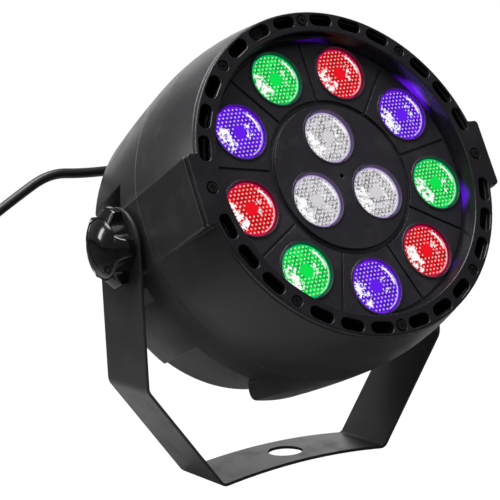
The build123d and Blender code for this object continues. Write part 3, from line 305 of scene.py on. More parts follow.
class TreeBuilder:
    """A shader or geometry tree under construction."""

    def __init__(self, tree: bpy.types.NodeTree) -> None:
        """Take the tree that the nodes go into."""
        self.tree = tree

    def fill(self, target: Socket, value: object) -> None:
        """Link a socket to a source, or set its value."""
        if isinstance(value, Socket):
            self.tree.links.new(value, target)
        elif isinstance(value, tuple) and len(value) == 3 and target.type == "RGBA":
            target.default_value = (*value, 1.0)
        else:
            target.default_value = value

    def add(self, kind: str, **values: object) -> bpy.types.Node:
        """Add a node.

        Args:
            kind: The node's type.
            **values: Properties by their name, and inputs as "in_" and their index or name.

        Returns:
            The new node.
        """
        node = self.tree.nodes.new(kind)
        for name, value in values.items():
            if name.startswith("in_"):
                key = name[3:]
                self.fill(node.inputs[int(key) if key.isdigit() else key], value)
            else:
                setattr(node, name, value)
        return node

    def math(self, operation: str, *values: object) -> Socket:
        """Add a Math node and return its result."""
        node = self.add("ShaderNodeMath", operation=operation)
        for k, value in enumerate(values):
            self.fill(node.inputs[k], value)
        return node.outputs[0]

    def times(self, first: object, second: object) -> Socket:
        """Return a product."""
        return self.math("MULTIPLY", first, second)

    def seen(self) -> Socket:
        """Return 1 for camera rays and 0 for all others."""
        return self.add("ShaderNodeLightPath").outputs["Is Camera Ray"]

    def blended(self, share: object, first: object, second: object) -> Socket:
        """Return the mix of two colours by a share."""
        mix = self.add("ShaderNodeMix", data_type="RGBA")
        for name, value in (("Factor", share), ("A", first), ("B", second)):
            self.fill(mix.inputs[name], value)
        return mix.outputs["Result"]


class Grower(TreeBuilder):
    """A Geometry Nodes tree that repeats a form, run on an object and kept as a plain mesh."""

    def __init__(self, name: str, **sizes: float) -> None:
        """Start a tree whose named inputs hold the sizes."""
        super().__init__(bpy.data.node_groups.new(name, "GeometryNodeTree"))
        self.tree.interface.new_socket("Geometry", in_out="INPUT", socket_type="NodeSocketGeometry")
        self.tree.interface.new_socket("Geometry", in_out="OUTPUT", socket_type="NodeSocketGeometry")
        for label, value in sizes.items():
            kind = "NodeSocketInt" if isinstance(value, int) else "NodeSocketFloat"
            self.tree.interface.new_socket(socket_name(label), in_out="INPUT", socket_type=kind)
        self.sizes = sizes
        self.inside = self.tree.nodes.new("NodeGroupInput").outputs
        self.outside = self.tree.nodes.new("NodeGroupOutput").inputs

    def size(self, label: str) -> Socket:
        """Return the socket of a named size."""
        return self.inside[socket_name(label)]

    def at_points(self, points: Socket, form: Socket, **values: object) -> Socket:
        """Repeat a form at points and return the instances."""
        put = self.add("GeometryNodeInstanceOnPoints", in_Points=points, in_Instance=form, **values)
        return put.outputs[0]

    def grow(self, piece: bpy.types.Object, shapes: Socket, finish: bpy.types.Material) -> bpy.types.Object:
        """Realize the instances, run the tree on the object and keep the mesh.

        Args:
            piece: The object that carries the points or line.
            shapes: The instances' socket.
            finish: The material of what is grown.

        Returns:
            The object with its grown mesh.
        """
        real = self.add("GeometryNodeRealizeInstances", in_0=shapes)
        dressing = self.add("GeometryNodeSetMaterial", in_Geometry=real.outputs[0], in_Material=finish)
        self.tree.links.new(dressing.outputs[0], self.outside[0])
        maker = piece.modifiers.new(self.tree.name, "NODES")
        maker.node_group = self.tree
        for item in self.tree.interface.items_tree:
            if item.in_out == "INPUT" and item.name != "Geometry":
                maker[item.identifier] = self.sizes[item.name.lower().replace(" ", "_")]
        return settled(piece)


def point_cloud(name: str, spots: Sequence[Vector]) -> bpy.types.Object:
    """Return an object of loose vertices."""
    mesh = bpy.data.meshes.new(name)
    mesh.from_pydata([tuple(s) for s in spots], [], [])
    return shown(name, mesh)


class Shader(TreeBuilder):
    """A material's node tree with its Principled BSDF."""

    def __init__(self, name: str) -> None:
        """Start a material of that name."""
        self.material = bpy.data.materials.new(name)
        self.material.use_nodes = True
        super().__init__(self.material.node_tree)
        self.surface = self.tree.nodes["Principled BSDF"]
        self.place = self.add("ShaderNodeTexCoord").outputs["Object"]

    def use(self, group: bpy.types.NodeTree, **values: object) -> bpy.types.Node:
        """Place a shader group and set its inputs by name."""
        node = self.tree.nodes.new("ShaderNodeGroup")
        node.node_tree = group
        for name, value in values.items():
            self.fill(node.inputs[socket_name(name)], value)
        return node

    def give(self, values: dict[str, object]) -> None:
        """Link or set inputs of the surface by name."""
        for name, value in values.items():
            self.fill(self.surface.inputs[name], value)

    def bump(self, height: Socket, strength: float, distance: float) -> Socket:
        """Return the normal of a surface raised by a height."""
        raised = self.add("ShaderNodeBump", in_Height=height, in_Strength=strength, in_Distance=distance)
        return raised.outputs[0]


class GroupMaker(TreeBuilder):
    """A shader node group under construction."""

    def __init__(
        self, name: str, inputs: Sequence[tuple[str, str, object]], outputs: Sequence[tuple[str, str]]
    ) -> None:
        """Start a group with its named inputs and outputs."""
        super().__init__(bpy.data.node_groups.new(name, "ShaderNodeTree"))
        for label, kind, value in inputs:
            socket = self.tree.interface.new_socket(label, in_out="INPUT", socket_type=kind)
            socket.default_value = value
        for label, kind in outputs:
            self.tree.interface.new_socket(label, in_out="OUTPUT", socket_type=kind)
        self.inside = self.tree.nodes.new("NodeGroupInput").outputs
        self.outside = self.tree.nodes.new("NodeGroupOutput").inputs
        self.place = self.add("ShaderNodeTexCoord").outputs["Object"]

    def split(self, label: str) -> tuple[Socket, Socket, Socket]:
        """Return the three parts of the group's input of that name."""
        parts = self.add("ShaderNodeSeparateXYZ", in_0=self.inside[label])
        return tuple(parts.outputs)

    def reach(self, u: Socket, v: Socket) -> Socket:
        """Return how far a place lies from the middle."""
        return self.math("SQRT", self.math("ADD", self.times(u, u), self.times(v, v)))

    def rest(self, value: Socket) -> Socket:
        """Return what is left of 1."""
        return self.math("SUBTRACT", 1.0, value)

    def ramp(self, value: object, low: float, high: float) -> Socket:
        """Map a value smoothly from low to high onto 0 to 1."""
        values = {"in_0": value, "in_1": low, "in_2": high}
        return self.add("ShaderNodeMapRange", interpolation_type="SMOOTHSTEP", **values).outputs["Result"]

    def noise(self, where: object, scale: object, detail: float = 4.0, rough: float = 0.55) -> Socket:
        """Add a noise texture and return its value."""
        values = {"in_Vector": where, "in_Scale": scale, "in_Detail": detail, "in_Roughness": rough}
        return self.add("ShaderNodeTexNoise", **values).outputs["Fac"]

    def give(self, label: str, value: Socket) -> None:
        """Put a value out of the group."""
        self.tree.links.new(value, self.outside[label])


@dataclass(frozen=True)
class SurfaceGrain:
    """The noise of a moulded surface: scales in cycles a metre, and the values between which patches grow."""

    broad_scale: float = 28.0
    speck_scale: float = 1400.0
    specks: Place = (0.66, 0.78)
    drift_scale: float = 60.0
    drift: Place = (0.45, 0.75)
    tone_gain: float = 4.0
    fine_share: float = 0.08

    def group(self) -> bpy.types.NodeTree:
        """Build the shared group of surface grain, uneven tone, dust and rubbed patches."""
        made = GroupMaker(
            "moulded_surface",
            [
                ("Colour", "NodeSocketColor", (0.05, 0.05, 0.05, 1)),
                ("Dust colour", "NodeSocketColor", (0.3, 0.3, 0.3, 1)),
                ("Grain scale", "NodeSocketFloat", 900.0),
                ("Tone", "NodeSocketFloat", 0.1),
                ("Dust", "NodeSocketFloat", 0.05),
                ("Roughness", "NodeSocketFloat", 0.5),
                ("Rubbed", "NodeSocketFloat", 0.1),
            ],
            [("Colour", "NodeSocketColor"), ("Roughness", "NodeSocketFloat"), ("Height", "NodeSocketFloat")],
        )
        inputs = made.inside
        grain = made.noise(made.place, inputs["Grain scale"], 2.0, 0.5)
        broad = made.math("SUBTRACT", made.noise(made.place, self.broad_scale, 3.0), 0.5)
        specks = made.ramp(made.noise(made.place, self.speck_scale, 1.0, 0.4), *self.specks)
        drift = made.ramp(made.noise(made.place, self.drift_scale, 5.0, 0.65), *self.drift)
        tone = made.math("MULTIPLY_ADD", broad, made.times(inputs["Tone"], self.tone_gain), 1.0)
        shade = made.add("ShaderNodeVectorMath", operation="SCALE", in_0=inputs["Colour"], in_Scale=tone)
        dust = made.times(made.math("MAXIMUM", specks, drift), inputs["Dust"])
        made.give("Colour", made.blended(dust, shade.outputs[0], inputs["Dust colour"]))
        rub = made.times(made.math("SUBTRACT", drift, 0.5), inputs["Rubbed"])
        fine = made.times(made.math("SUBTRACT", grain, 0.5), self.fine_share)
        made.give("Roughness", made.math("ADD", made.math("ADD", inputs["Roughness"], rub), fine))
        made.give("Height", grain)
        return made.tree


@dataclass(frozen=True)
class LensArc:
    """An arc of caught light on a lens.

    It has a radius, half a width and a soft side in millimetres, the angle in degrees that it faces, and
    the two cosines between which it fades in.
    """

    radius: float
    half: float
    soft: float
    angle: float
    fade: Place


@dataclass(frozen=True)
class LensPattern:
    """The look of a lit lens in its own millimetres: radii, dot sizes, noise scales, starts of glints."""

    pitch: float = 2.1
    heart: Place = (3.7, 5.2)
    heart_wobble: float = 2.4
    edge: Place = (11.6, 12.1)
    dot: Place = (0.28, 0.52)
    shade: Place = (0.25, 0.6)
    shade_shift: float = 0.5
    patch_scale: float = 240.0
    patches: Place = (0.36, 0.52)
    crumb_scale: float = 1500.0
    crumbs: Place = (0.5, 0.56)
    heart_scale: float = 700.0
    lump_scale: float = 430.0
    lump_lift: float = 0.15
    lump_step: float = 0.035
    lump_fade: Place = (0.05, 0.3)
    broad_arc: LensArc = LensArc(8.4, 2.0, 1.8, 199, (0.62, 0.88))
    broad_need: float = 0.61
    small_arc: LensArc = LensArc(5.2, 1.0, 1.6, 2, (0.5, 0.8))
    small_need: float = 0.68
    sickle_arc: LensArc = LensArc(10.5, 0.25, 0.5, 27, (0.84, 0.95))
    line_arc: LensArc = LensArc(11.5, 0.1, 0.3, -25, (0.55, 0.85))
    line_share: float = 0.55

    def dot_distance(self, made: GroupMaker, u: Socket, v: Socket) -> Socket:
        """Return how far a place lies from the nearest point of the honeycomb.

        Args:
            made: The group that the nodes go into.
            u: Millimetres to the right.
            v: Millimetres up.

        Returns:
            The distance in millimetres.
        """
        nearest = None
        far_cells = 40.0
        for shift in (0.0, 0.5):
            squares = []
            for value, stretch in ((u, 1.0), (v, math.sqrt(3.0))):
                step = made.times(made.inside["Pitch"], stretch)
                cells = made.math("ADD", made.math("DIVIDE", value, step), shift + far_cells)
                cell = made.math("FRACT", cells)
                away = made.times(made.math("SUBTRACT", cell, 0.5), step)
                squares.append(made.times(away, away))
            distance = made.math("SQRT", made.math("ADD", *squares))
            nearest = distance if nearest is None else made.math("MINIMUM", nearest, distance)
        return nearest

    def group(self) -> bpy.types.NodeTree:
        """Build the group of a lens's honeycomb dots, dark specks with painted shadows beside the dots,
        caught glints, bright heart and edge.
        """
        made = GroupMaker(
            "lens_facets",
            [("Where", "NodeSocketVector", (0, 0, 0)), ("Pitch", "NodeSocketFloat", self.pitch)],
            [(label, "NodeSocketFloat") for label in ("Dots", "Glints", "Edge", "Specks")],
        )
        u, v, _ = made.split("Where")
        reach = made.reach(u, v)
        safe = made.math("MAXIMUM", reach, 0.1)

        def lying_on(arc: LensArc) -> Socket:
            """Return 1 on an arc, with soft sides and ends."""
            away = made.math("ABSOLUTE", made.math("SUBTRACT", reach, arc.radius))
            ring = made.rest(made.ramp(away, arc.half, arc.half + arc.soft))
            x, y = around(1.0, arc.angle)
            along = made.math("ADD", made.times(u, x), made.times(v, y))
            return made.times(ring, made.ramp(made.math("DIVIDE", along, safe), *arc.fade))

        uneven = made.times(made.noise(made.place, self.heart_scale, 2.0, 0.6), self.heart_wobble)
        heart = made.rest(made.ramp(made.math("ADD", reach, uneven), *self.heart))
        edge = made.ramp(reach, *self.edge)
        field = made.times(made.rest(heart), made.rest(edge))
        dots = made.rest(made.ramp(self.dot_distance(made, u, v), *self.dot))
        # Painted shade: a dark copy of each dot, shifted down and to the right, stands in for the dot's
        # shadow.
        beside = made.math("SUBTRACT", u, self.shade_shift), made.math("ADD", v, self.shade_shift)
        shade = made.rest(made.ramp(self.dot_distance(made, *beside), *self.shade))
        patchy = made.ramp(made.noise(made.place, self.patch_scale, 3.0, 0.6), *self.patches)
        crumbs = made.ramp(made.noise(made.place, self.crumb_scale, 2.0, 0.6), *self.crumbs)
        made.give("Dots", made.times(dots, field))
        made.give("Edge", edge)
        # The dark marks are the painted dot shadows and random crumbs, both in patches.
        dark = made.math("MAXIMUM", made.times(shade, patchy), made.times(crumbs, patchy))
        made.give("Specks", made.times(dark, field))
        lumps = made.noise(made.place, self.lump_scale, 4.0, 0.74)
        patches = []
        for arc, need in ((self.broad_arc, self.broad_need), (self.small_arc, self.small_need)):
            mask = lying_on(arc)
            heap = made.math("ADD", lumps, made.times(mask, self.lump_lift))
            here = made.ramp(mask, *self.lump_fade)
            patches.append(made.times(made.ramp(heap, need, need + self.lump_step), here))
        line = made.times(lying_on(self.line_arc), self.line_share)
        glint = made.math("MAXIMUM", *patches)
        for patch in (lying_on(self.sickle_arc), line):
            glint = made.math("MAXIMUM", glint, patch)
        made.give("Glints", made.times(glint, made.rest(heart)))
        return made.tree


@dataclass(frozen=True)
class FaceGlow:
    """How far the lenses light the rims round them and the bezel's inner wall, in millimetres."""

    halo: Place = (12.5, 14.0)
    wall_start: Place = (67.0, 67.4)
    wall_end: Place = (69.0, 69.3)
    wall_depth: Place = (-6.5, -2.0)
    arc_lift: float = 4.5

    def halo_group(self) -> bpy.types.NodeTree:
        """Build the group of the glow that a lens throws on the rim round it."""
        inputs = [("Where", "NodeSocketVector", (0, 0, 0))]
        made = GroupMaker("lens_halo", inputs, [("Halo", "NodeSocketFloat")])
        u, v, _ = made.split("Where")
        near = made.rest(made.ramp(made.reach(u, v), *self.halo))
        made.give("Halo", made.times(near, near))
        return made.tree

    def wall_group(self) -> bpy.types.NodeTree:
        """Build the group of the coloured light caught by the bezel's inner wall."""
        inputs = [
            ("Where", "NodeSocketVector", (0, 0, 0)),
            ("Angle", "NodeSocketFloat", 30.0),
            ("Spread", "NodeSocketFloat", 12.0),
        ]
        made = GroupMaker("wall_glow", inputs, [("Glow", "NodeSocketFloat")])
        u, v, out = made.split("Where")
        angle = made.math("DEGREES", made.math("ARCTAN2", v, u))
        away = made.math("DIVIDE", made.math("SUBTRACT", angle, made.inside["Angle"]), made.inside["Spread"])
        arc = made.rest(made.ramp(made.math("ABSOLUTE", away), 0.0, 1.0))
        reach = made.reach(u, v)
        wall = made.times(made.ramp(reach, *self.wall_start), made.rest(made.ramp(reach, *self.wall_end)))
        lift = made.times(made.rest(arc), self.arc_lift)
        deep = made.rest(made.ramp(made.math("ADD", out, lift), *self.wall_depth))
        made.give("Glow", made.times(made.times(arc, wall), deep))
        return made.tree


def face_place(shader: Shader, right: float = 0.0, up: float = 0.0) -> Socket:
    """Return Object coordinates in millimetres about a place in the face, X to the right and Z out."""
    centre = HEAD.at(right, up)
    mapping = shader.add(
        "ShaderNodeMapping",
        vector_type="TEXTURE",
        in_Vector=shader.place,
        in_Location=centre.to_translation(),
        in_Rotation=centre.to_euler(),
        in_Scale=(MM, MM, MM),
    )
    return mapping.outputs["Vector"]


class LensColour(Enum):
    """The lit colours of the lenses: glow, bright dots, edge, and how strongly they light what is near."""

    RED = ((0.86, 0.004, 0.014), (1.0, 0.74, 0.66), (0.62, 0.004, 0.09), 0.35)
    GREEN = ((0.002, 0.78, 0.08), (0.7, 1.0, 0.78), (0.0, 0.45, 0.15), 0.3)
    BLUE = ((0.13, 0.01, 0.84), (0.86, 0.66, 0.95), (0.17, 0.01, 0.85), 2.2)
    WHITE = ((0.66, 0.64, 0.67), (0.92, 0.92, 0.94), (0.46, 0.33, 0.7), 0.5)


HALO_SHARE = 0.16
# Colour of the painted violet lens light on the bezel's inner wall.
WALL_GLOW_COLOUR = (0.1, 0.004, 0.62)


@dataclass(frozen=True)
class LensRing:
    """Lenses evenly round a circle, clockwise from a first angle in degrees, their colours in turn."""

    radius: float
    start: float
    count: int
    colours: tuple[LensColour, ...]

    def places(self) -> dict[str, tuple[LensColour, Place]]:
        """Return each lens's node with its colour and place in the face."""
        found = {}
        for k in range(self.count):
            turn, which = divmod(k, len(self.colours))
            colour = self.colours[which]
            place = around(self.radius, self.start - 360 / self.count * k)
            found[f"lens_{colour.name.lower()}_{turn + 1}"] = (colour, place)
        return found


OUTER_RING = LensRing(53.3, 70, 9, (LensColour.RED, LensColour.BLUE, LensColour.GREEN))
INNER_RING = LensRing(19.5, 90, 3, (LensColour.WHITE,))
LENSES = OUTER_RING.places() | INNER_RING.places()


@dataclass(frozen=True)
class Finish:
    """A moulded, painted, rubber or metal finish with its grain, tone and dust."""

    name: str
    colour: Colour
    roughness: float
    metallic: float = 0.0
    coat: float = 0.0
    grain: float = 900.0
    bump: float = 0.1
    tone: float = 0.06
    dust: float = 0.05
    dust_colour: Colour = (0.22, 0.22, 0.23)
    rubbed: float = 0.12
    coat_roughness: float = 0.08
    bump_height: float = 0.0004
    wall_glows: tuple[tuple[float, float, float], ...] = ()
    lens_halos: tuple[tuple[LensColour, Place], ...] = ()

    def glow(self, shader: Shader) -> None:
        """Add the light that the lenses throw on the bezel's wall and on the rims round them, painted as
        emission.
        """
        masks = []
        where = face_place(shader) if self.wall_glows else None
        for angle, spread, strength in self.wall_glows:
            patch = shader.use(GROUPS["wall_glow"], where=where, angle=angle, spread=spread)
            masks.append((patch.outputs["Glow"], tuple(strength * c for c in WALL_GLOW_COLOUR)))
        for colour, place in self.lens_halos:
            halo = shader.use(GROUPS["halo"], where=face_place(shader, *place))
            masks.append((halo.outputs["Halo"], tuple(HALO_SHARE * c for c in colour.value[2])))
        glow_colour: object = (0.0, 0.0, 0.0)
        for mask, colour in masks:
            glow_colour = shader.blended(mask, glow_colour, colour)
        shader.give({"Emission Color": glow_colour, "Emission Strength": 1.0})

    def made(self) -> bpy.types.Material:
        """Build the material."""
        shader = Shader(self.name)
        skin = shader.use(
            GROUPS["surface"],
            colour=self.colour,
            dust_colour=self.dust_colour,
            grain_scale=self.grain,
            tone=self.tone,
            dust=self.dust,
            roughness=self.roughness,
            rubbed=self.rubbed,
        )
        shader.give(
            {
                "Base Color": skin.outputs["Colour"],
                "Roughness": skin.outputs["Roughness"],
                "Metallic": self.metallic,
                "Coat Weight": self.coat,
                "Coat Roughness": self.coat_roughness,
                "Normal": shader.bump(skin.outputs["Height"], self.bump, self.bump_height),
            }
        )
        if self.wall_glows or self.lens_halos:
            self.glow(shader)
        return shader.material


@dataclass(frozen=True)
class LensFinish:
    """A lit, pebbled clear lens of one colour, its pattern centred on one lens."""

    colour: LensColour
    name: str
    place: Place
    brightness: float = 0.95
    dark_share: float = 0.16
    white_dark_share: float = 0.05
    base_share: float = 0.05
    bump_height: float = 0.0006

    def made(self) -> bpy.types.Material:
        """Build the material."""
        shader = Shader(self.name)
        facets = shader.use(GROUPS["lens"], where=face_place(shader, *self.place))
        glow, dots, edge, spill = self.colour.value
        dark_share = self.white_dark_share if self.colour is LensColour.WHITE else self.dark_share
        glow_colour: object = glow
        # Over the glow go the dark specks with their painted dot shadows, the dots, the edge and the caught
        # glints.
        for label, colour, share in (
            ("Specks", tuple(dark_share * c for c in glow), 0.85),
            ("Dots", dots, 0.95),
            ("Edge", edge, 1.0),
            ("Glints", (1.0, 1.0, 1.0), 1.0),
        ):
            glow_colour = shader.blended(shader.times(facets.outputs[label], share), glow_colour, colour)
        strength = shader.add("ShaderNodeMapRange", in_0=shader.seen(), in_3=spill, in_4=self.brightness)
        shader.give(
            {
                "Emission Color": glow_colour,
                "Emission Strength": strength.outputs["Result"],
                "Base Color": tuple(self.base_share * c for c in glow),
                "Roughness": 0.25,
                "Specular IOR Level": 0.2,
                "Normal": shader.bump(facets.outputs["Dots"], 0.5, self.bump_height),
            }
        )
        return shader.material


FRAME: dict = {}
GROUPS: dict[str, bpy.types.NodeTree] = {}
FINISHES: dict[str, bpy.types.Material] = {}

PALETTE = (
    Finish("housing_black", (0.021, 0.021, 0.023), 0.42, grain=1300, bump=0.09, dust=0.03),
    Finish(
        "fascia_black",
        (0.027, 0.024, 0.032),
        0.36,
        grain=1700,
        bump=0.45,
        tone=0.14,
        dust=0.09,
        lens_halos=tuple(LENSES.values()),
    ),
    Finish(
        "bezel_black",
        (0.014, 0.012, 0.016),
        0.32,
        grain=1500,
        bump=0.1,
        dust=0.04,
        wall_glows=((33, 13, 1.3), (-15, 9, 0.8), (84, 12, 0.2), (-47, 6, 0.12)),
    ),
    Finish("yoke_powder_coat", (0.034, 0.034, 0.036), 0.44, grain=1700, bump=0.12, dust=0.03),
    Finish(
        "knob_gloss", (0.003, 0.003, 0.004), 0.16, coat=0.25, grain=500, bump=0.02, rubbed=0.04, dust=0.02
    ),
    Finish("screw_black", (0.02, 0.02, 0.022), 0.32, metallic=0.6, grain=2500, bump=0.04),
    Finish("screw_steel", (0.55, 0.55, 0.57), 0.3, metallic=1.0, grain=2500, bump=0.05, dust=0.02),
    Finish("cord_rubber", (0.012, 0.012, 0.013), 0.42, grain=1800, bump=0.1, dust=0.04),
    Finish("boot_rubber", (0.016, 0.016, 0.017), 0.5, grain=1600, bump=0.12, dust=0.05),
    Finish("segment_lit", (0.8, 0.02, 0.01), 0.3, grain=900, bump=0.02, dust=0.0),
    Finish("segment_dark", (0.035, 0.02, 0.02), 0.3, grain=900, bump=0.02, dust=0.0),
    Finish("washer_rubber", (0.02, 0.02, 0.02), 0.75, grain=1500, bump=0.2),
    Finish("button_plastic", (0.06, 0.06, 0.065), 0.35, grain=1500, bump=0.06),
    Finish("socket_plastic", (0.012, 0.012, 0.013), 0.4, grain=1500, bump=0.08),
    Finish("contact_silver", (0.75, 0.73, 0.68), 0.2, metallic=1.0, grain=3000, bump=0.02, dust=0.01),
    Finish("window_smoked", (0.01, 0.008, 0.009), 0.08, coat=0.5, grain=600, bump=0.01, dust=0.03),
    Finish("board_green", (0.015, 0.11, 0.04), 0.35, grain=700, bump=0.15, tone=0.12),
    Finish("board_white", (0.75, 0.75, 0.73), 0.4, grain=900, bump=0.1),
    Finish("sink_aluminium", (0.62, 0.63, 0.65), 0.35, metallic=1.0, grain=1600, bump=0.12),
    Finish("transformer_tape", (0.6, 0.42, 0.06), 0.4, grain=400, bump=0.2, tone=0.1),
    Finish("capacitor_sleeve", (0.01, 0.015, 0.05), 0.22, grain=800, bump=0.03),
    Finish("fuse_glass", (0.6, 0.62, 0.64), 0.12, grain=900, bump=0.02),
    Finish("module_black", (0.02, 0.02, 0.02), 0.5, grain=1200, bump=0.08),
    Finish("holder_plastic", (0.7, 0.7, 0.68), 0.45, grain=1200, bump=0.06),
    Finish("emitter_ceramic", (0.8, 0.7, 0.25), 0.25, grain=1500, bump=0.03),
    Finish("loom_sleeve", (0.35, 0.02, 0.02), 0.45, grain=1500, bump=0.15),
)


def prepare() -> None:
    """Load the frame and build the shared groups and finishes."""
    FRAME.update(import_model())
    GROUPS["surface"] = SurfaceGrain().group()
    GROUPS["lens"] = LensPattern().group()
    GROUPS["wall_glow"] = FaceGlow().wall_group()
    GROUPS["halo"] = FaceGlow().halo_group()
    for finish in PALETTE:
        FINISHES[finish.name] = finish.made()


def give_finish(finish: str, *nodes: str) -> None:
    """Give a finish to nodes that are shown as they are."""
    for node in nodes:
        shape = FRAME["nodes"][node]
        shape.data.materials.clear()
        shape.data.materials.append(FINISHES[finish])
        for polygon in shape.data.polygons:
            polygon.material_index = 0


@dataclass(frozen=True)
class Lamp:
    """A soft lamp: where it hangs and points, its width and height in metres, and its power in watts."""

    name: str
    spot: Spot
    aim: Spot
    size: Place
    power: float

    def hang(self) -> None:
        """Hang the lamp."""
        light = bpy.data.lights.new(self.name, "AREA")
        light.shape = "RECTANGLE"
        light.size, light.size_y = self.size
        light.energy = self.power
        look = Vector(self.aim) - Vector(self.spot)
        turn = look.to_track_quat("-Z", "Y").to_matrix().to_4x4()
        shown(self.name, light).matrix_world = Matrix.Translation(self.spot) @ turn


LAMPS = (
    Lamp("top_softbox", (-0.2, 0.15, 1.3), (0, 0, 0.1), (1.0, 0.9), 21),
    Lamp("back_softbox", (0.75, 1.25, 0.45), (0, 0, 0.15), (1.3, 0.8), 3.6),
    Lamp("left_softbox", (-0.8, 0.4, 1.15), (0, 0, 0.12), (0.5, 0.6), 5.5),
    Lamp("front_softbox", (-0.75, -1.05, 0.95), (0, 0, 0.12), (0.35, 0.5), 1.7),
    Lamp("knob_strip", (-1.1, 0.7, 0.58), (-0.1, 0, 0.115), (0.22, 0.45), 3.2),
)


@dataclass
class Studio:
    """The camera at the photograph's angle, the pale floor and the soft lamps."""

    camera_place: Spot = (-0.4678, -0.6761, 0.2320)
    right: Spot = (0.8253293, -0.5624199, -0.0504500)
    down: Spot = (-0.1288022, -0.1005290, -0.9865608)
    ahead: Spot = (0.5497649, 0.8207352, -0.1554060)
    sensor: float = 36.0
    focal_pixels: float = 1714.41
    picture_pixels: float = 500.0
    floor_level: float = -0.00302
    floor_half: float = 6.0
    light_pool_reach: Place = (0.08, 0.32)
    floor_tone: Place = (0.46, 0.06)
    seen_share: float = 0.92
    background: float = 1.1
    ambient: float = 0.16

    def camera(self) -> None:
        """Set up the camera."""
        lens = bpy.data.cameras.new("photo_camera")
        lens.lens = self.focal_pixels / self.picture_pixels * self.sensor
        lens.sensor_width = self.sensor
        lens.clip_start = 0.01
        view = shown("photo_camera", lens)
        turn = Matrix((Vector(self.right), -Vector(self.down), -Vector(self.ahead))).transposed()
        view.matrix_world = Matrix.Translation(self.camera_place) @ turn.to_quaternion().to_matrix().to_4x4()
        bpy.context.scene.camera = view
        bpy.context.scene.view_settings.view_transform = "Standard"

    def floor(self) -> None:
        """Lay the floor, which keeps the shadow and shows white to the camera; its colour is paler near the
        object, a painted pool of bounced light.
        """
        shader = Shader("studio_floor")
        away = shader.add("ShaderNodeVectorMath", operation="LENGTH", in_0=shader.place).outputs["Value"]
        # Painted pool of bounced light: the floor's colour is paler near the object and darker farther off.
        start, end = self.light_pool_reach
        near, far = self.floor_tone
        values = {"in_0": away, "in_1": start, "in_2": end, "in_3": near, "in_4": far}
        fade = shader.add("ShaderNodeMapRange", interpolation_type="SMOOTHSTEP", **values)
        shader.give({"Base Color": fade.outputs["Result"], "Roughness": 0.9, "Specular IOR Level": 0.1})
        glow = shader.add("ShaderNodeEmission", in_Strength=self.background)
        share = shader.times(shader.seen(), self.seen_share)
        lit = shader.surface.outputs[0]
        mix = shader.add("ShaderNodeMixShader", in_0=share, in_1=lit, in_2=glow.outputs[0])
        shader.fill(shader.tree.nodes["Material Output"].inputs["Surface"], mix.outputs[0])
        sheet = bmesh.new()
        bmesh.ops.create_grid(sheet, x_segments=1, y_segments=1, size=self.floor_half)
        bmesh.ops.translate(sheet, verts=sheet.verts, vec=(0, 0, self.floor_level))
        mesh = bpy.data.meshes.new("studio_floor")
        sheet.to_mesh(mesh)
        sheet.free()
        dressed("studio_floor", mesh, shader.material)

    def world(self) -> None:
        """Set the world: white where it is seen, grey where it lights."""
        world = bpy.data.worlds.new("studio_world")
        world.use_nodes = True
        sky = TreeBuilder(world.node_tree)
        back = sky.tree.nodes["Background"]
        sky.fill(back.inputs["Color"], (self.ambient, self.ambient, self.ambient))
        white = sky.add("ShaderNodeBackground", in_Color=(1, 1, 1)).outputs[0]
        mix = sky.add("ShaderNodeMixShader", in_0=sky.seen(), in_1=back.outputs[0], in_2=white)
        sky.fill(sky.tree.nodes["World Output"].inputs["Surface"], mix.outputs[0])
        bpy.context.scene.world = world

    def build(self) -> None:
        """Build the camera, floor, world and lamps."""
        self.camera()
        self.floor()
        self.world()
        for lamp in LAMPS:
            lamp.hang()


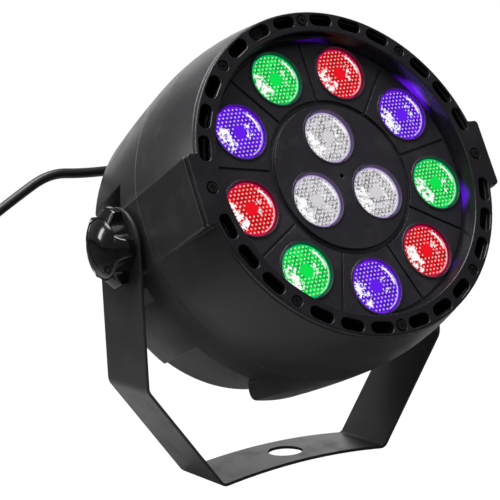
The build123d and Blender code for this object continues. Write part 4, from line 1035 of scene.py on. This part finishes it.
@dataclass
class MainsLead:
    """The mains lead: its route to the floor, the put-away coil, the tail and the plug."""

    diameter: float = 0.005
    route: tuple[Spot, ...] = (
        (-0.0450, 0.0780, 0.1407),
        (-0.0605, 0.0780, 0.1407),
        (-0.0795, 0.0782, 0.1430),
        (-0.0995, 0.0778, 0.1324),
        (-0.1170, 0.0774, 0.1226),
        (-0.1290, 0.0780, 0.1068),
        (-0.1360, 0.0796, 0.0875),
        (-0.1390, 0.0820, 0.0655),
        (-0.1410, 0.0855, 0.0435),
        (-0.1445, 0.0900, 0.0220),
        (-0.1555, 0.0940, 0.0056),
        (-0.1735, 0.0959, -0.0005),
    )
    centre: Place = (-0.196, 0.060)
    outer_radius: float = 0.0359
    pitch: float = 0.0056
    rise: float = 0.0056
    level: float = -0.000512
    bottom_turns: float = 3.0
    top_turns: float = 2.75
    steps_per_turn: int = 24
    plug_level: float = 0.003838
    plug_rounding: float = 1.2
    tail_length: float = 0.024
    tail_shares: tuple[Place, ...] = ((0.0, 0.0), (0.33, 0.0), (0.67, 1.0), (1.0, 1.0))

    def coil_point(self, turns: float) -> Vector:
        """Return the coil's centre line after a number of turns."""
        climb = min(max((turns - self.bottom_turns) * 2, 0.0), 1.0)
        if turns < self.bottom_turns:
            radius = self.outer_radius - self.pitch * turns
        else:
            radius = self.outer_radius - self.pitch * self.bottom_turns
            radius += self.pitch * max(turns - self.bottom_turns - 0.5, 0.0)
            radius -= self.pitch / 4 * math.sin(math.pi * climb)
        x, y = around(radius, 360 * (turns + 0.25))
        height = self.level + self.rise * climb * climb * (3 - 2 * climb)
        return Vector((self.centre[0] + x, self.centre[1] + y, height))

    def control_points(self) -> list[Vector]:
        """Return the route's points, from the strain relief to the plug."""
        points = [Vector(p) for p in self.route]
        turns = self.bottom_turns + 0.5 + self.top_turns
        first = self.coil_point(0.0)
        points.append(first + Vector((self.diameter, 0, 0)))
        count = round(turns * self.steps_per_turn)
        points += [self.coil_point(turns * k / count) for k in range(count + 1)]
        end = self.coil_point(turns) + Vector((0, -self.diameter, 0))
        drop = end.z - self.plug_level
        points += [end - Vector((0, self.tail_length * a, drop * b)) for a, b in self.tail_shares]
        return points

    def centre_line(self) -> list[Vector]:
        """Return points along the smooth line that the control points guide."""
        points = self.control_points()
        curve = bpy.data.curves.new("lead_line", "CURVE")
        curve.dimensions = "3D"
        curve.resolution_u = 6
        spline = curve.splines.new("NURBS")
        spline.points.add(len(points) - 1)
        for target, point in zip(spline.points, points):
            target.co = (*point, 1)
        spline.order_u = 3
        spline.use_endpoint_u = True
        guide = shown("lead_line", curve)
        mesh = bpy.data.meshes.new_from_object(guide)
        line = [v.co.copy() for v in mesh.vertices]
        bpy.data.objects.remove(guide)
        return line

    def build(self) -> None:
        """Build the lead and its plug."""
        line = self.centre_line()
        lead = Mesher().tube(line, self.diameter / 2).piece("mains_lead", FINISHES["cord_rubber"])
        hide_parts("mains_cord", "mains_cord_coil", "mains_cord_tail")
        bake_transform(lead)
        plug = softened("mains_plug", "lead_plug", FINISHES["cord_rubber"], self.plug_rounding, 3)
        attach(plug, "yoke")
        give_finish("contact_silver", "plug_pins")


@dataclass
class LampFace:
    """The bezel, fascia, lenses and bezel screws."""

    bezel_rounding: float = 0.4
    fascia_rounding: float = 0.2

    def build(self) -> None:
        """Build the face."""
        for piece in (
            softened("front_bezel", "bezel", FINISHES["bezel_black"], self.bezel_rounding),
            softened("fascia_panel", "fascia", FINISHES["fascia_black"], self.fascia_rounding, merged=False),
        ):
            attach(piece, "head")
        for node, (colour, place) in LENSES.items():
            name = f"{node}_glow"
            FINISHES[name] = LensFinish(colour, name, place).made()
            give_finish(name, node)
        give_finish("screw_black", "bezel_screws_large", "bezel_screws_small")


class Lit(Enum):
    """Whether a segment of the display is lit."""

    ON = "segment_lit"
    OFF = "segment_dark"


@dataclass
class StrainReliefRibs:
    """The rings moulded round the lead's strain relief, made by Geometry Nodes."""

    place: Place = (-15.0, 57.0)
    depth: float = 129.0
    first: float = 5.0
    last: float = 28.0
    count: int = 9
    root_radius: float = 5.0
    tip_radius: float = 3.4
    boot_length: float = 30.0
    thickness: float = 0.45

    def boot_radius(self, along: float) -> float:
        """Return the boot's radius at a distance from its elbow."""
        return self.root_radius + (self.tip_radius - self.root_radius) * along / self.boot_length

    def build(self) -> None:
        """Grow the rings and set them round the boot."""
        grower = Grower(
            "rib_row",
            rib_count=self.count,
            row_length=self.last - self.first,
            start_radius=self.boot_radius(self.first),
            end_radius=self.boot_radius(self.last),
            rib_thickness=self.thickness,
        )
        start, end = grower.size("start_radius"), grower.size("end_radius")
        count = grower.size("rib_count")
        top = grower.add("ShaderNodeCombineXYZ", in_Z=grower.size("row_length")).outputs[0]
        line = grower.add("GeometryNodeMeshLine", mode="END_POINTS", in_Count=count, in_Offset=top)
        loop = grower.add("GeometryNodeCurvePrimitiveCircle", in_Resolution=36, in_Radius=1.0)
        thin = grower.math("DIVIDE", grower.size("rib_thickness"), grower.math("ADD", start, end))
        wide = grower.math("MULTIPLY", thin, 2.0)
        section = grower.add("GeometryNodeCurvePrimitiveCircle", in_Resolution=8, in_Radius=wide)
        rib = grower.add("GeometryNodeCurveToMesh", in_0=loop.outputs[0], in_1=section.outputs[0])
        index = grower.add("GeometryNodeInputIndex").outputs[0]
        last = grower.math("SUBTRACT", count, 1.0)
        taper = grower.add("ShaderNodeMapRange", in_0=index, in_2=last, in_3=start, in_4=end).outputs[0]
        shapes = grower.at_points(line.outputs[0], rib.outputs[0], in_Scale=taper)
        holder = point_cloud("strain_relief_ribs", [Vector()])
        ribs = grower.grow(holder, shapes, FINISHES["boot_rubber"])
        base = HEAD.at(*self.place, self.depth)
        spot = base.to_translation() + Vector((-self.first * MM, 0, 0))
        turn = Vector((0, 0, 1)).rotation_difference(Vector((-1, 0, 0))).to_matrix().to_4x4()
        ribs.data.transform(Matrix.Translation(spot) @ turn @ Matrix.Diagonal((MM, MM, MM, 1)))
        smooth_faces(ribs.data)
        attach(ribs, "head")


@dataclass
class DisplayDigits:
    """The seven-segment numbers behind the display window, made by Geometry Nodes."""

    place: Place = (4.0, 33.0)
    depth: float = 121.05
    text: str = "001"
    pitch: float = 9.4
    half_width: float = 2.4
    half_height: float = 4.6
    segment_width: float = 1.1
    segment_depth: float = 0.1
    slant: float = 0.09

    def segments(self) -> dict[str, tuple[Place, bool]]:
        """Return each segment's middle and whether it stands up."""
        w, h = self.half_width, self.half_height
        upright = {"b": (w, h / 2), "c": (w, -h / 2), "e": (-w, -h / 2), "f": (-w, h / 2)}
        level = {"a": (0.0, h), "g": (0.0, 0.0), "d": (0.0, -h)}
        return {k: (p, True) for k, p in upright.items()} | {k: (p, False) for k, p in level.items()}

    def spots(self, lit: Lit, standing: bool) -> list[Vector]:
        """Return the middles of the lit or dark segments that stand or lie."""
        shapes = {"0": "abcdef", "1": "bc"}
        found = []
        for k, digit in enumerate(self.text):
            centre = (k - (len(self.text) - 1) / 2) * self.pitch
            for label, ((x, y), upright) in self.segments().items():
                if upright == standing and (label in shapes[digit]) == (lit is Lit.ON):
                    found.append(Vector((centre + x + self.slant * y, y, 0)))
        return found

    def build(self) -> None:
        """Grow the lit and the dark segments."""
        for lit in Lit:
            for standing in (True, False):
                self.row(lit, standing)

    def row(self, lit: Lit, standing: bool) -> None:
        """Grow the segments of one kind.

        Args:
            lit: Whether they are lit.
            standing: Whether they stand up.
        """
        span = self.half_height if standing else 2 * self.half_width
        overlap = 0.75 * self.segment_width
        grower = Grower(
            "segment_row",
            bar_length=span - overlap,
            bar_width=self.segment_width,
            bar_depth=self.segment_depth,
        )
        size = grower.add("ShaderNodeCombineXYZ")
        order = ("bar_width", "bar_length") if standing else ("bar_length", "bar_width")
        for k, label in enumerate((*order, "bar_depth")):
            grower.tree.links.new(grower.size(label), size.inputs[k])
        bar = grower.add("GeometryNodeMeshCube", in_Size=size.outputs[0])
        dots = grower.add("GeometryNodeMeshToPoints", in_0=grower.inside["Geometry"])
        shapes = grower.at_points(dots.outputs[0], bar.outputs[0])
        name = f"display_{lit.value}_{'standing' if standing else 'lying'}"
        row = grower.grow(point_cloud(name, self.spots(lit, standing)), shapes, FINISHES[lit.value])
        flip = Matrix.Rotation(math.pi, 4, "Y") @ Matrix.Diagonal((MM, MM, MM, 1))
        row.data.transform(HEAD.at(*self.place, self.depth) @ flip)
        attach(row, "head")


@dataclass
class Housing:
    """The front shell, the rear cover and what shows on the back."""

    rounding: float = 0.4

    def build(self) -> None:
        """Build the housing and dress the back."""
        for node, name in (("front_shell", "shell"), ("rear_cover", "back_cover")):
            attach(softened(node, name, FINISHES["housing_black"], self.rounding), "head")
        give_finish("screw_black", "rear_cover_screws", "socket_screws")
        give_finish("window_smoked", "display_window")
        give_finish("button_plastic", "menu_button", "down_button", "up_button", "enter_button")
        give_finish("socket_plastic", "dmx_in_socket", "dmx_out_socket")
        give_finish("boot_rubber", "cord_gland")
        give_finish("contact_silver", "dmx_in_pins", "dmx_out_contacts")
        StrainReliefRibs().build()
        DisplayDigits().build()


@dataclass
class Works:
    """The boards, heat sink and parts inside the housing."""

    def build(self) -> None:
        """Dress the pieces inside."""
        give_finish("board_green", "supply_board", "control_board")
        give_finish("board_white", "led_board")
        give_finish("sink_aluminium", "heat_sink")
        give_finish("holder_plastic", "lens_holders")
        give_finish("emitter_ceramic", *(f"led_emitters_{colour.name.lower()}" for colour in LensColour))
        give_finish("transformer_tape", "transformer")
        give_finish("capacitor_sleeve", "filter_capacitors")
        give_finish("fuse_glass", "supply_fuse")
        give_finish("module_black", "display_module", "microphone", "button_switches")
        give_finish("loom_sleeve", "wire_loom")
        give_finish("screw_steel", "board_screws", "pivot_inserts")


def soft_least(first: float, second: float, width: float) -> float:
    """Return the smaller of two values, rounded off where they lie within a width of each other."""
    share = max(width - abs(first - second), 0.0) / width
    return min(first, second) - share * share * width / 4


@dataclass
class HandKnob:
    """A lobed hand knob with a round domed cap set in a groove."""

    hand: str
    side: float
    flute_angle: float
    start: float = 87.1
    lobes: int = 5
    radius: float = 19.0
    waist: float = 14.3
    flute_radius: float = 9.5
    flute_offset: float = 23.2
    collar_radius: float = 11.5
    collar_height: float = 1.6
    grip_top: float = 8.8
    slope_start: float = 5.6
    slope_radius: float = 14.6
    cap_radius: float = 13.7
    cap_rise: float = 4.8
    dimple_radius: float = 7.5
    dimple_depth: float = 0.5
    edge: float = 0.8
    groove: Place = (0.1, 0.35)
    groove_depth: float = 0.35
    row_height: float = 0.3
    cap_rows: int = 18
    steps: int = 150
    smooth: float = 50.0

    def reach(self, radius: float, angle: float) -> float:
        """Return how far a row of a radius reaches at an angle in degrees, between the flutes."""
        step = 360 / self.lobes
        away = math.radians((angle - self.flute_angle + step / 2) % step - step / 2)
        across = self.flute_offset * math.sin(away)
        grip = self.radius
        if abs(across) < self.flute_radius:
            flute = self.flute_offset * math.cos(away) - math.sqrt(self.flute_radius**2 - across**2)
            grip = max(self.waist, soft_least(flute, self.radius, 2 * self.edge))
        return soft_least(radius, grip, self.edge)

    def cap(self) -> list[Place]:
        """Return the domed cap's outline, from its middle out."""
        ball = (self.cap_radius**2 + self.cap_rise**2) / (2 * self.cap_rise)
        points = []
        for k in range(self.cap_rows + 1):
            radius = self.cap_radius * k / self.cap_rows
            height = self.grip_top + self.cap_rise - ball + math.sqrt(ball**2 - radius**2)
            if radius < self.dimple_radius:
                height -= self.dimple_depth * (1 + math.cos(math.pi * radius / self.dimple_radius)) / 2
            points.append((radius, height))
        return points

    def grip(self) -> list[Place]:
        """Return the grip's outline, from the cap's groove back to its foot."""
        floor = self.grip_top - self.groove_depth
        points = [(self.cap_radius + offset, floor) for offset in self.groove]
        slope = (self.radius - self.slope_radius) / (self.grip_top - self.slope_start)
        count = round((self.grip_top - self.collar_height) / self.row_height)
        for k in range(count + 1):
            height = self.grip_top - (self.grip_top - self.collar_height) * k / count
            front = self.slope_radius + slope * (self.grip_top - height)
            back = self.radius - self.edge + height - self.collar_height
            slope_radius = soft_least(front, back, self.edge)
            points.append((soft_least(slope_radius, self.radius + self.edge / 4, self.edge), height))
        return points

    def build(self) -> None:
        """Build the knob, standing in for the plain one."""
        collar = [(self.collar_radius, self.collar_height), (self.collar_radius, 0.0), (0.0, 0.0)]
        turn = Matrix(((0, 0, self.side), (1, 0, 0), (0, self.side, 0))).to_4x4()
        place = Matrix.Translation(Vector((self.side * self.start, 0, HEAD.pivot_height)) * MM) @ turn
        shape = Mesher().lathe([*self.cap(), *self.grip(), *collar], place, self.steps, self.reach)
        knob = shape.piece(f"{self.hand}_hand_knob", FINISHES["knob_gloss"], self.smooth)
        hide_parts(f"knob_{self.hand}")
        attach(knob, f"{self.hand}_knob")


@dataclass
class Yoke:
    """The bent steel strap, the washers, studs and hand knobs."""

    rounding: float = 0.3

    def build(self) -> None:
        """Build the yoke and the knobs."""
        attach(softened("bracket", "yoke_strap", FINISHES["yoke_powder_coat"], self.rounding), "yoke")
        for knob in (HandKnob("left", -1.0, 5.0), HandKnob("right", 1.0, 41.0)):
            knob.build()
        give_finish("screw_steel", "stud_left", "stud_right")
        give_finish("washer_rubber", "friction_washers")


def main() -> None:
    """Build the whole scene in order."""
    logging.basicConfig(level=logging.INFO, format="%(name)s: %(message)s")
    prepare()
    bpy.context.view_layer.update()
    for part in (Studio(), MainsLead(), LampFace(), Housing(), Works(), Yoke()):
        part.build()
        LOG.info("built %s", type(part).__name__)


if __name__ == "__main__":
    main()
